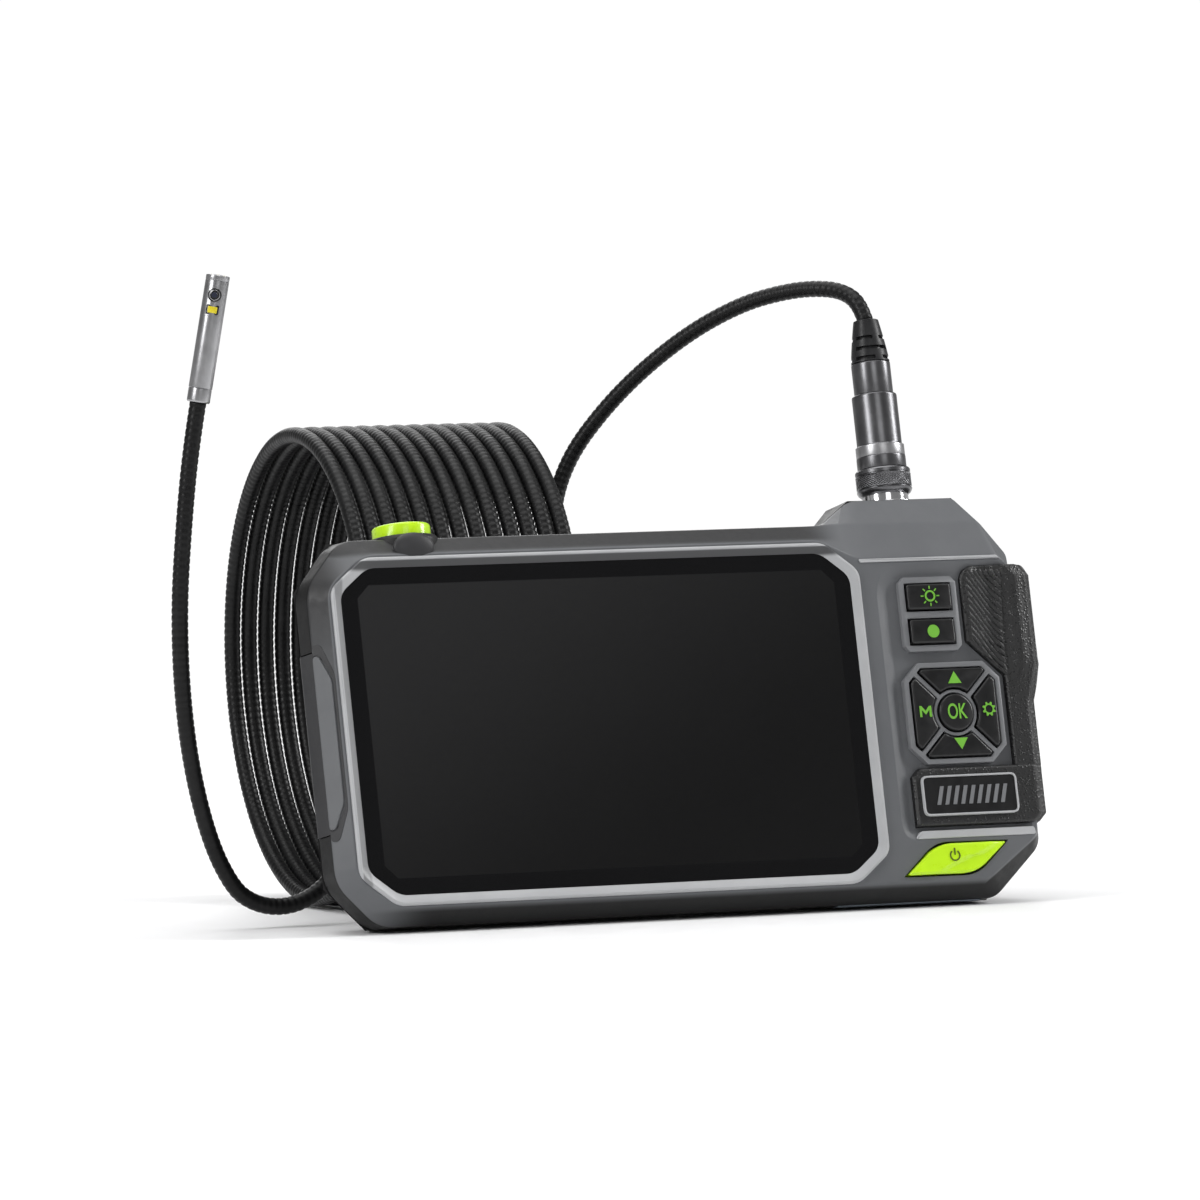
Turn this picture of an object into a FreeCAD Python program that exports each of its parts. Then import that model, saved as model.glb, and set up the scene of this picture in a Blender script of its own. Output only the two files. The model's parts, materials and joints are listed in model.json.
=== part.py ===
"""Handheld inspection camera: a lean-back display handset, its threaded cable plug, the coiled
semi-rigid probe cable and the turning two-lens camera head.

The handset is drawn in its own frame: X to the right, Y backwards from the glass, Z up, with the
origin at the glass centre. It is then leaned back until the raked underside lies on the table.
"""
import FreeCAD, Part
import math
import os
import Sketcher
from FreeCAD import Placement, Rotation, Vector

os.makedirs("parts", exist_ok=True)
doc = FreeCAD.newDocument("inspection_camera")

# ---------------------------------------------------------------- driving dimensions (mm, degrees)
SIZES = {
    # how the handset stands
    "lean_angle": 12.0, "heel_trim": 0.05, "stand_x": 18.8, "stand_y": 16.36, "heel_front": 8.0,
    # handset outline, half sizes measured from the glass centre unless named otherwise
    "body_left": 66.0, "body_right": 99.8, "body_top": 41.5, "body_bottom": 40.9,
    "side_flat": 31.0, "corner_cut": 8.6, "face_left": 61.8, "face_right": 97.3, "face_top": 37.5,
    "face_bottom": 37.2, "key_face_top": 33.3, "face_drop": 4.0, "parting": 8.6, "gasket_thick": 0.4,
    "rear_depth": 20.0, "hump_depth": 33.0, "wall": 2.0, "rear_inset": 6.0, "plug_hump_top": 47.6,
    "plug_hump_left": 65.0, "plug_hump_right": 90.0, "shoulder": 55.0,
    # display
    "glass_wide": 118.4, "glass_high": 69.5, "glass_cut": 6.0, "glass_thick": 1.1,
    "bezel_width": 2.2, "bezel_proud": 0.6, "active_wide": 110.7, "active_high": 62.3, "panel_thick": 0.9,
    "backlight_thick": 2.4, "backlight_wide": 117.6, "backlight_high": 68.4,
    # inside
    "board_wide": 112.0, "board_high": 62.0, "board_thick": 1.6, "board_front": 5.0,
    "chassis_front": 8.0, "chassis_thick": 1.2, "chassis_wide": 118.0, "chassis_high": 68.0,
    "cell_radius": 9.1, "cell_long": 65.0, "cell_x": 79.0, "cell_y": 19.8, "cell_z": 1.0,
    "key_board_front": 4.2, "key_board_thick": 1.2, "dome_radius": 2.0, "dome_high": 0.8,
    # keys
    "key_gap": 0.3, "key_proud": 1.0, "key_foot": 2.6, "key_flange": 0.6,
    "pad_x": 80.6, "pad_z": -1.0, "pad_half_wide": 10.3, "pad_half_high": 9.9, "pad_cut": 3.0,
    "frame_rim": 1.15, "frame_proud": 0.5, "frame_back": 1.8, "hub_radius": 5.1, "ok_radius": 4.05,
    "spoke_half": 0.5, "pair_left": 70.4, "pair_right": 84.1, "pair_low": 12.6, "pair_high": 28.8,
    "pair_bar_low": 19.8, "pair_bar_high": 21.3, "pair_rim": 1.3,
    "power_left": 64.6, "power_right": 89.8, "power_slant": 8.0, "power_low": -36.0, "power_high": -29.1,
    "shutter_x": -40.2, "shutter_y": 8.6, "shutter_radius": 6.2, "shutter_gap": 0.4, "shutter_top": 45.0,
    # grip, label and side cover
    "grip_proud": 0.8, "grip_left": 85.4, "grip_right": 103.6, "waist_right": 100.9, "grip_top": 31.0,
    "grip_low": -25.5, "grip_depth": 24.0, "panel_left": 68.7, "panel_top": -12.8, "label_proud": 0.4,
    "label_left": 70.2, "label_right": 93.0, "label_low": -23.4, "label_high": -14.5, "label_rim": 0.7,
    "cover_low": -21.0, "cover_high": 18.0, "cover_front": 2.4, "cover_back": 13.6, "cover_thick": 2.6,
    "cover_recess": 6.4, "cover_gap": 0.25, "port_panel_thick": 1.4,
    # threaded plug, on an axis that is parallel to the handset's sides
    "plug_x": 77.4, "plug_y": 15.4, "socket_radius": 5.0, "socket_bore": 3.6, "socket_show": 1.9,
    "socket_thread": 4.4, "socket_tail": 9.0, "socket_reach": 2.0, "nut_radius": 6.2, "nut_thick": 2.2,
    "ring_radius": 6.05, "ring_high": 5.8, "ring_clearance": 0.08, "spigot_high": 3.2,
    "collar_radius": 5.5, "collar_high": 2.7, "band_radius": 5.15, "band_high": 1.9,
    "barrel_radius": 4.9, "barrel_high": 11.9, "sleeve_radius": 4.25, "sleeve_high": 7.0,
    "boot_low_radius": 4.15, "boot_top_radius": 2.55, "boot_high": 9.6, "pin_block_radius": 3.1,
    # cable
    "cable_radius": 1.8, "coil_radius": 50.4, "coil_pitch": 4.17, "coil_gaps": 12.0, "coil_yaw": 4.0,
    "coil_first_x": -57.5, "coil_first_y": 64.7,
    # camera head
    "head_radius": 2.5, "head_long": 27.2, "ferrule_radius": 2.25, "ferrule_long": 3.0,
    "neck_radius": 1.7, "neck_long": 5.0, "neck_clearance": 0.05, "head_gap": 0.1, "head_bore": 2.05,
    "window_half": 1.45, "window_low": 17.6, "window_high": 25.4, "lens_radius": 0.95, "lens_height": 22.7,
    "led_height": 19.6, "led_half_wide": 1.0, "led_half_high": 0.7,
}

sheet = doc.addObject("Spreadsheet::Sheet", "Sizes")
for row, (alias, number) in enumerate(SIZES.items(), start=1):
    sheet.set(f"A{row}", alias)
    sheet.set(f"B{row}", f"{number:g}")
    sheet.setAlias(f"B{row}", alias)
doc.recompute()


class Size:
    """A number from the sheet, or a sum or share of some, with the formula that ties it to them."""

    def __init__(self, value, text):
        self.value, self.text = value, text

    def mixed(self, other, sign, value):
        return Size(value, f"({self.text} {sign} {as_size(other).text})")

    def __add__(self, other):
        return self.mixed(other, "+", self.value + as_size(other).value)

    def __sub__(self, other):
        return self.mixed(other, "-", self.value - as_size(other).value)

    def __mul__(self, other):
        return self.mixed(other, "*", self.value * as_size(other).value)

    def __truediv__(self, other):
        return self.mixed(other, "/", self.value / as_size(other).value)

    def __neg__(self):
        return Size(-self.value, f"(0 - {self.text})")

    def __radd__(self, other):
        return as_size(other) + self

    def __rsub__(self, other):
        return as_size(other) - self


def as_size(number):
    return number if isinstance(number, Size) else Size(float(number), f"({float(number):.6f})")


class Named:
    """The sheet's sizes by name: D.wall is the wall's Size."""

    def __getattr__(self, alias):
        return Size(SIZES[alias], f"Sizes.{alias}")


D = Named()


# ---------------------------------------------------------------- helpers
def bind(thing, field, size):
    """Ties one property of an object to the sheet."""
    thing.setExpression(field, as_size(size).text)


def draw_loop(sketch, corners):
    """One closed outline of straight lines, every corner held at two sizes from the origin."""
    ends = [Vector(as_size(x).value, as_size(z).value, 0) for x, z in corners]
    first = sketch.GeometryCount
    for i, start in enumerate(ends):
        sketch.addGeometry(Part.LineSegment(start, ends[(i + 1) % len(ends)]), False)
    for i, (x, z) in enumerate(corners):
        after = first + (i + 1) % len(ends)
        sketch.addConstraint(Sketcher.Constraint("Coincident", first + i, 2, after, 1))
        for kind, size in (("DistanceX", x), ("DistanceY", z)):
            number = as_size(size)
            at = sketch.addConstraint(Sketcher.Constraint(kind, -1, 1, first + i, 1, number.value))
            if isinstance(size, Size):
                sketch.setExpression(f"Constraints[{at}]", number.text)


def draw_circle(sketch, x, z, radius):
    """One circle, its centre and radius held by sizes."""
    x, z, radius = as_size(x), as_size(z), as_size(radius)
    ring = sketch.addGeometry(Part.Circle(Vector(x.value, z.value, 0), Vector(0, 0, 1), radius.value), False)
    for constraint, size in (
        (Sketcher.Constraint("DistanceX", -1, 1, ring, 3, x.value), x),
        (Sketcher.Constraint("DistanceY", -1, 1, ring, 3, z.value), z),
        (Sketcher.Constraint("Radius", ring, radius.value), radius),
    ):
        sketch.setExpression(f"Constraints[{sketch.addConstraint(constraint)}]", size.text)


def draw(sketch, loops):
    """Fills a sketch: a loop is a list of corners, or (x, z, radius) for a circle."""
    for loop in loops:
        if isinstance(loop, list):
            draw_loop(sketch, loop)
        else:
            draw_circle(sketch, *loop)


def front_sketch(body, loops, depth):
    """A sketch in the front plane of a body, that far behind the glass."""
    sketch = body.newObject("Sketcher::SketchObject", body.Name + "_outline")
    plane = [f for f in body.Origin.OriginFeatures if f.Role == "XZ_Plane"][0]
    sketch.AttachmentSupport = [(plane, "")]
    sketch.MapMode = "FlatFace"
    bind(sketch, "AttachmentOffset.Base.z", -as_size(depth))
    draw(sketch, loops)
    return sketch


def add_pad(body, loops, front, back):
    """Adds a slab from depth front to depth back."""
    sketch = front_sketch(body, loops, front)
    pad = body.newObject("PartDesign::Pad", body.Name + "_pad")
    pad.Profile = sketch
    pad.Reversed = True
    bind(pad, "Length", as_size(back) - front)
    body.Tip = pad
    return pad


def plate(name, loops, front, back, place):
    """A body made of one slab. The first loop is its outline and the others are holes in it."""
    body = doc.addObject("PartDesign::Body", name)
    add_pad(body, loops, front, back)
    body.Placement = place
    return body


def turned(name, loops, place):
    """A body of revolution about its own Z. A loop's corners are (radius, height)."""
    body = doc.addObject("PartDesign::Body", name)
    sketch = front_sketch(body, loops, 0)
    spin = body.newObject("PartDesign::Revolution", name + "_turning")
    spin.Profile = sketch
    spin.ReferenceAxis = (sketch, ["V_Axis"])
    spin.Angle = 360
    body.Tip = spin
    body.Placement = place
    return body


def section(name, corners, depth):
    """A closed outline in the front plane, that far behind the glass, for a loft."""
    sketch = doc.addObject("Sketcher::SketchObject", name)
    sketch.Placement = Placement(Vector(0, as_size(depth).value, 0), Rotation(Vector(1, 0, 0), 90))
    bind(sketch, "Placement.Base.y", depth)
    draw(sketch, [corners])
    return sketch


def loft(name, stations):
    """A solid through outlines, given as (corners, depth)."""
    solid = doc.addObject("Part::Loft", name)
    solid.Sections = [section(f"{name}_{i}", corners, depth) for i, (corners, depth) in enumerate(stations)]
    solid.Solid = True
    solid.Ruled = True
    return solid


def block(name, low, high):
    """A box between two corners."""
    box = doc.addObject("Part::Box", name)
    for side, axis, a, b in zip(("Length", "Width", "Height"), "xyz", low, high):
        bind(box, side, as_size(b) - a)
        bind(box, f"Placement.Base.{axis}", a)
    return box


def rod(name, start, direction, radius, length):
    """A cylinder from a point along a direction."""
    cylinder = doc.addObject("Part::Cylinder", name)
    bind(cylinder, "Radius", radius)
    bind(cylinder, "Height", length)
    cylinder.Placement.Rotation = Rotation(Vector(0, 0, 1), Vector(*direction))
    for axis, at in zip("xyz", start):
        bind(cylinder, f"Placement.Base.{axis}", at)
    return cylinder


def fused(name, pieces, place=None):
    union = doc.addObject("Part::MultiFuse", name)
    union.Shapes = pieces
    union.Placement = place or Placement()
    return union


def cut(name, base, tool, place=None):
    rest = doc.addObject("Part::Cut", name)
    rest.Base, rest.Tool = base, tool
    rest.Placement = place or Placement()
    return rest


def group(name, pieces, place):
    """Several separate solids, or one primitive, as one sub-part."""
    together = doc.addObject("Part::Compound", name)
    together.Links = pieces
    together.Placement = place
    return together


def rectangle(left, low, right, high):
    return [(left, low), (left, high), (right, high), (right, low)]


def cut_rectangle(left, low, right, high, cut_x, cut_z):
    """A rectangle with its four corners cut off."""
    return [
        (left, low + cut_z), (left, high - cut_z), (left + cut_x, high), (right - cut_x, high),
        (right, high - cut_z), (right, low + cut_z), (right - cut_x, low), (left + cut_x, low),
    ]


def inner(corners, step, middle=0):
    """An outline moved inwards by step along X and Z, towards X = middle and Z = 0."""
    return [
        (x - step if as_size(x).value > middle else x + step, z - step if as_size(z).value > 0 else z + step)
        for x, z in corners
    ]


NODES = []


def node(thing):
    """Marks a finished sub-part: its label names the file that it is written to."""
    thing.Label = thing.Name
    NODES.append(thing)
    return thing


# ---------------------------------------------------------------- where things stand
lean = math.radians(SIZES["lean_angle"])
heel_drop = SIZES["body_bottom"] * math.cos(lean) + SIZES["heel_front"] * math.sin(lean)
HANDSET = Placement(
    Vector(-SIZES["stand_x"], -SIZES["stand_y"], heel_drop - SIZES["heel_trim"]),
    Rotation(Vector(1, 0, 0), -SIZES["lean_angle"])
)
heel_slope = Size(math.tan(lean), "tan(Sizes.lean_angle * 1deg)")


def heel(depth):
    """Height of the raked underside at a depth: on the table once the handset leans back."""
    return (as_size(depth) - D.heel_front) * heel_slope - D.body_bottom


# ---------------------------------------------------------------- handset outlines
back_face = D.parting + D.gasket_thick
front_outline = [
    (-D.face_left, -D.side_flat), (-D.face_left, D.side_flat),
    (D.corner_cut - D.face_left, D.face_top), (D.shoulder - 2, D.face_top),
    (D.plug_hump_left - 3.5, D.key_face_top), (D.face_right - 2.5, D.key_face_top),
    (D.face_right, D.key_face_top - 2.5), (D.face_right, 3 - D.side_flat),
    (D.face_right - 13, -D.face_bottom), (D.corner_cut - D.face_left, -D.face_bottom),
]
rim_outline = [
    (-D.body_left + 0.8, -D.side_flat - 0.5), (-D.body_left + 0.8, D.side_flat + 0.5),
    (D.corner_cut - D.body_left + 0.8, D.body_top), (D.shoulder - 1, D.body_top),
    (D.plug_hump_left - 3.0, D.body_top - 0.9), (D.plug_hump_right + 4.0, D.body_top - 1.4),
    (D.body_right - 0.4, D.key_face_top + 0.6), (D.body_right - 0.4, 1 - D.side_flat),
    (D.face_right - 9.8, -D.body_bottom), (D.corner_cut - D.body_left + 0.8, -D.body_bottom),
]


def parting_outline(depth):
    """Where the two casings meet, at either side of the gasket."""
    return [
        (-D.body_left, -D.side_flat - 0.5), (-D.body_left, D.side_flat + 0.5),
        (D.corner_cut - D.body_left, D.body_top + 0.3), (D.shoulder + 2, D.body_top + 0.3),
        (D.plug_hump_left, D.plug_hump_top), (D.plug_hump_right, D.plug_hump_top),
        (D.body_right, D.key_face_top + 1.7), (D.body_right, 1 - D.side_flat),
        (D.face_right - 9.8, heel(depth)), (D.corner_cut - D.body_left, heel(depth)),
    ]


rear_outline = [
    (-D.body_left + D.rear_inset, -D.side_flat + 1), (-D.body_left + D.rear_inset, D.side_flat - 2),
    (D.corner_cut - D.body_left + 5, D.body_top - 4), (D.shoulder + 2, D.body_top - 2),
    (D.plug_hump_left, D.plug_hump_top), (D.plug_hump_right, D.plug_hump_top),
    (D.body_right - 1.2, D.key_face_top + 1), (D.body_right - 1.2, 2 - D.side_flat),
    (D.face_right - 9.8, heel(D.rear_depth)), (D.corner_cut - D.body_left + 5, heel(D.rear_depth)),
]
hump_foot = [
    (D.shoulder + 1, heel(D.rear_depth)), (D.shoulder + 1, D.body_top - 4),
    (D.plug_hump_left, D.plug_hump_top), (D.plug_hump_right, D.plug_hump_top),
    (D.body_right - 1.2, D.key_face_top + 1), (D.body_right - 1.2, 2 - D.side_flat),
    (D.face_right - 9.8, heel(D.rear_depth)),
]
hump_back = [
    (D.shoulder + 8, heel(D.hump_depth)), (D.shoulder + 8, D.body_top - 10),
    (D.plug_hump_left + 4, D.plug_hump_top - 5), (D.plug_hump_right - 3, D.plug_hump_top - 5),
    (D.body_right - 5, D.key_face_top - 5), (D.body_right - 5, 6 - D.side_flat),
    (D.face_right - 12, heel(D.hump_depth)),
]

HUMP_MIDDLE = 76.0
glass_outline = cut_rectangle(
    -D.glass_wide / 2, -D.glass_high / 2, D.glass_wide / 2, D.glass_high / 2, D.glass_cut, D.glass_cut - 0.8
)


# ---------------------------------------------------------------- key outlines
def arm_key(turns, gap):
    """One arm of the four-way pad: a wedge between two spokes, outside the hub, turned by quarters."""
    hub = SIZES["hub_radius"] + gap
    side = math.sqrt(2) * (SIZES["spoke_half"] + gap)
    along = (side + math.sqrt(2 * hub**2 - side**2)) / 2
    reach = D.pad_half_high if turns % 2 == 0 else D.pad_half_wide
    across = D.pad_half_wide if turns % 2 == 0 else D.pad_half_high
    shoulder_at = ((reach + across - D.pad_cut) + (side - 1.41 * gap)) / 2
    edge = [
        (shoulder_at - side, shoulder_at), (across - D.pad_cut - gap / 2, reach - gap),
    ]
    inside = [(hub * math.sin(a), hub * math.cos(a)) for a in (0.26, 0.52)] + [(along - side, along)]
    half = inside + edge
    ring = [(0, hub)] + half + [(-as_size(s), t) for s, t in reversed(half)]
    spin = ((1, 0, 0, 1), (0, 1, -1, 0), (-1, 0, 0, -1), (0, -1, 1, 0))[turns]
    return [
        (D.pad_x + as_size(s) * spin[0] + as_size(t) * spin[1],
         D.pad_z + as_size(s) * spin[2] + as_size(t) * spin[3])
        for s, t in ring
    ]


def pad_outline(grow):
    """The four-way pad's eight-sided outline, grown by a rim."""
    return cut_rectangle(
        D.pad_x - D.pad_half_wide - grow, D.pad_z - D.pad_half_high - grow,
        D.pad_x + D.pad_half_wide + grow, D.pad_z + D.pad_half_high + grow,
        D.pad_cut + as_size(grow) * 0.6, D.pad_cut + as_size(grow) * 0.6,
    )


def power_outline(gap):
    """The slanted power key, shrunk by a gap on each side."""
    gap = as_size(gap)
    return [
        (D.power_left + gap * 2, D.power_low + gap), (D.power_left + D.power_slant + gap, D.power_high - gap),
        (D.power_right - gap * 2, D.power_high - gap), (D.power_right - D.power_slant - gap, D.power_low + gap),
    ]


pair_outline = cut_rectangle(D.pair_left, D.pair_low, D.pair_right, D.pair_high, 1.2, 1.2)
record_space = rectangle(D.pair_left + D.pair_rim, D.pair_low + D.pair_rim, D.pair_right - D.pair_rim, D.pair_bar_low)
light_space = rectangle(
    D.pair_left + D.pair_rim, D.pair_bar_high, D.pair_right - D.pair_rim, D.pair_high - D.pair_rim
)


# ---------------------------------------------------------------- casings
def table(name):
    """What lies under the raked underside: it trims a casing to one flat heel."""
    slab = doc.addObject("Part::Box", name)
    bind(slab, "Length", D.body_right * 2 + 20)
    bind(slab, "Width", D.hump_depth * 2)
    bind(slab, "Height", D.heel_trim + 5)
    heel_plane = Placement(
        Vector(0, SIZES["heel_front"], -SIZES["body_bottom"]), Rotation(Vector(1, 0, 0), SIZES["lean_angle"])
    )
    slab.Placement = heel_plane * Placement(Vector(-SIZES["body_right"] - 10, -SIZES["hump_depth"], -5), Rotation())
    return slab


def make_casings():
    """Front and rear casing, the gasket between them, and the solid form that the grip is fitted to."""
    front_form = loft("front_form", [
        (front_outline, 0), (rim_outline, D.face_drop), (parting_outline(D.parting), D.parting),
    ])
    front_hollow = loft("front_hollow", [
        (inner(front_outline, D.wall + 0.8), D.wall), (inner(rim_outline, D.wall), D.face_drop + 0.6),
        (inner(parting_outline(D.parting), D.wall), D.parting + 0.01),
    ])
    rear_form = fused("rear_form", [
        loft("rear_main", [(parting_outline(back_face), back_face), (rear_outline, D.rear_depth)]),
        loft("rear_hump", [(hump_foot, D.rear_depth - 0.01), (hump_back, D.hump_depth)]),
    ])
    rear_hollow = fused("rear_hollow", [
        loft("rear_main_hollow", [
            (inner(parting_outline(back_face), D.wall), back_face - 0.01),
            (inner(rear_outline, D.wall), D.rear_depth - D.wall),
        ]),
        loft("rear_hump_hollow", [
            (inner(hump_foot, D.wall + 0.6, HUMP_MIDDLE), D.rear_depth - D.wall - 0.01),
            (inner(hump_back, D.wall + 0.6, HUMP_MIDDLE), D.hump_depth - D.wall),
        ]),
    ])
    shutter_well = rod(
        "shutter_well", (D.shutter_x, D.shutter_y, 34), (0, 0, 1), D.shutter_radius + D.shutter_gap, 16
    )
    socket_hole = rod("socket_hole", (D.plug_x, D.plug_y, 36), (0, 0, 1), D.socket_thread, 16)
    nut_top = D.plug_hump_top - D.wall
    nut_space = rod("nut_space", (D.plug_x, D.plug_y, nut_top - 6), (0, 0, 1), D.nut_radius + 0.3, 6)
    port_bay = block(
        "port_bay",
        (-D.body_left - 1, D.cover_front, D.cover_low),
        (-D.body_left + D.cover_recess, D.cover_back, D.cover_high),
    )
    openings = [
        plate("window_opening", [cut_rectangle(
            -D.glass_wide / 2 - 0.2, -D.glass_high / 2 - 0.2, D.glass_wide / 2 + 0.2, D.glass_high / 2 + 0.2,
            D.glass_cut, D.glass_cut - 0.8)], -1, D.wall + 1, Placement()),
        plate("pad_opening", [pad_outline(D.frame_rim)], -1, D.wall + 1, Placement()),
        plate("pair_opening", [pair_outline], -1, D.wall + 1, Placement()),
        plate("power_opening", [power_outline(-0.1)], -1, D.wall + 1, Placement()),
    ]
    front_cuts = fused(
        "front_cuts", [front_hollow, shutter_well, port_bay, nut_space, table("front_table")] + openings)
    node(cut("front_shell", front_form, front_cuts, HANDSET))

    screw_holes = fused("screw_holes", [screw_hole(i) for i in range(len(SCREWS))])
    rear_cuts = fused("rear_cuts", [
        rear_hollow, shutter_well, port_bay, socket_hole, nut_space, screw_holes, table("rear_table")])
    node(cut("rear_shell", rear_form, rear_cuts, HANDSET))

    seam = inner(parting_outline(D.parting), 0.5)
    seam_ring = plate("seam_ring", [seam, inner(parting_outline(D.parting), D.wall - 0.3)],
                      D.parting, back_face, Placement())
    node(cut("shell_gasket", seam_ring, fused("seam_cuts", [shutter_well, port_bay]), HANDSET))
    return fused("whole_form", [front_form, rear_form, plate(
        "seam_fill", [parting_outline(D.parting)], D.parting - 0.05, back_face + 0.05, Placement())])


SCREWS = ((-52.0, 29.0), (-52.0, -29.5), (0.0, 31.0), (0.0, -31.0), (47.0, 29.5), (47.0, -31.0))


def screw_hole(i):
    """A counterbored hole through the rear casing's back wall."""
    x, z = SCREWS[i]
    deep = D.rear_depth - 1.2
    return fused(f"screw_hole_{i}", [
        rod(f"screw_bore_{i}", (x, D.rear_depth - 4, z), (0, 1, 0), 1.35, 6),
        rod(f"screw_counterbore_{i}", (x, deep, z), (0, 1, 0), 2.4, 4),
    ])


def make_chassis():
    """The inner frame with its screw posts, and the six casing screws."""
    back = D.chassis_front + D.chassis_thick
    sheet_metal = plate("chassis_sheet", [cut_rectangle(
        -D.chassis_wide / 2, -D.chassis_high / 2, D.chassis_wide / 2, D.chassis_high / 2, 6, 6)],
        D.chassis_front, back, Placement())
    posts = [
        rod(f"post_{i}", (x, D.chassis_front, z), (0, 1, 0), 2.8, D.rear_depth - D.wall - D.chassis_front)
        for i, (x, z) in enumerate(SCREWS)
    ]
    bores = [
        rod(f"post_bore_{i}", (x, D.chassis_front + 2, z), (0, 1, 0), 1.1, 20) for i, (x, z) in enumerate(SCREWS)
    ]
    port_room = block("chassis_port_room", (-70, 0, D.cover_low - 1), (-D.body_left + 14, 30, D.cover_high + 1))
    shutter_room = block("chassis_shutter_room", (D.shutter_x - 9, 0, 27), (D.shutter_x + 9, 30, 50))
    frame = fused("chassis_blank", [sheet_metal] + posts)
    node(cut("chassis", frame, fused("chassis_cuts", bores + [port_room, shutter_room]), HANDSET))
    screws = []
    for i, (x, z) in enumerate(SCREWS):
        seat = D.rear_depth - 1.2
        screws.append(fused(f"screw_{i}", [
            rod(f"screw_head_{i}", (x, seat, z), (0, 1, 0), 2.2, 1.0),
            rod(f"screw_shank_{i}", (x, seat - 6.5, z), (0, 1, 0), 1.1, 7),
        ]))
    node(group("shell_screws", screws, HANDSET))


# ---------------------------------------------------------------- display and electronics
def make_display():
    bezel_outside = cut_rectangle(
        -D.glass_wide / 2 - D.bezel_width, -D.glass_high / 2 - D.bezel_width,
        D.glass_wide / 2 + D.bezel_width, D.glass_high / 2 + D.bezel_width, 8.2, 6.8)
    node(plate("screen_bezel", [bezel_outside, cut_rectangle(
        -D.glass_wide / 2, -D.glass_high / 2, D.glass_wide / 2, D.glass_high / 2, D.glass_cut, D.glass_cut - 0.8
    )], -D.bezel_proud, 0, HANDSET))
    node(plate("cover_glass", [glass_outline], 0, D.glass_thick, HANDSET))
    panel_back = D.glass_thick + D.panel_thick
    node(plate("lcd_panel", [cut_rectangle(
        -D.active_wide / 2, -D.active_high / 2, D.active_wide / 2, D.active_high / 2, 2, 2
    )], D.glass_thick, panel_back, HANDSET))
    light_back = panel_back + D.backlight_thick
    node(plate("backlight_unit", [cut_rectangle(
        -D.backlight_wide / 2, -D.backlight_high / 2, D.backlight_wide / 2, D.backlight_high / 2, 5, 5
    )], panel_back + 0.05, light_back, HANDSET))


def make_electronics():
    back = D.board_front + D.board_thick
    node(plate("main_board", [
        rectangle(-D.board_wide / 2 + 7, -D.board_high / 2, D.board_wide / 2, D.board_high / 2 - 4)
    ], D.board_front, back, HANDSET))
    chips = [
        block("processor", (-14, back, -8), (4, back + 1.2, 10)),
        block("memory", (12, back, -6), (24, back + 1.0, 6)),
        block("radio", (-38, back, -22), (-26, back + 1.1, -12)),
    ]
    node(group("board_chips", chips, HANDSET))
    cell = rod("cell_can", (D.cell_x, D.cell_y, D.cell_z - D.cell_long / 2), (0, 0, 1), D.cell_radius, D.cell_long)
    node(group("battery_cell", [cell], HANDSET))
    low, high = D.cell_z - D.cell_long / 2, D.cell_z + D.cell_long / 2
    contacts = [
        block("contact_low", (D.cell_x - 6, D.cell_y - 6, low - 0.8), (D.cell_x + 6, D.cell_y + 6, low)),
        block("contact_high", (D.cell_x - 6, D.cell_y - 6, high), (D.cell_x + 6, D.cell_y + 6, high + 0.8)),
    ]
    node(group("battery_contacts", contacts, HANDSET))
    board_back = D.key_board_front + D.key_board_thick
    node(plate("key_board", [[(66, -36), (66, 30), (93, 30), (93, -25), (83, -36)]],
               D.key_board_front, board_back, HANDSET))
    places = [(D.pad_x, D.pad_z), (D.pad_x, D.pad_z + 7.4), (D.pad_x, D.pad_z - 7.4), (D.pad_x - 7.7, D.pad_z),
              (D.pad_x + 7.7, D.pad_z), (77.2, 16.8), (77.2, 24.4), (77.0, -32.5)]
    domes = [
        rod(f"dome_{i}", (x, D.key_board_front - D.dome_high, z), (0, 1, 0), D.dome_radius, D.dome_high)
        for i, (x, z) in enumerate(places)
    ]
    node(group("dome_switches", domes, HANDSET))


# ---------------------------------------------------------------- keys
def key(name, cap, flange):
    """A cap that stands proud of the face, with a wider foot that holds it behind the face."""
    body = doc.addObject("PartDesign::Body", name)
    add_pad(body, [cap], -D.key_proud, D.key_foot - D.key_flange)
    add_pad(body, [flange], D.key_foot - D.key_flange, D.key_foot)
    body.Placement = HANDSET
    return node(body)


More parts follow.
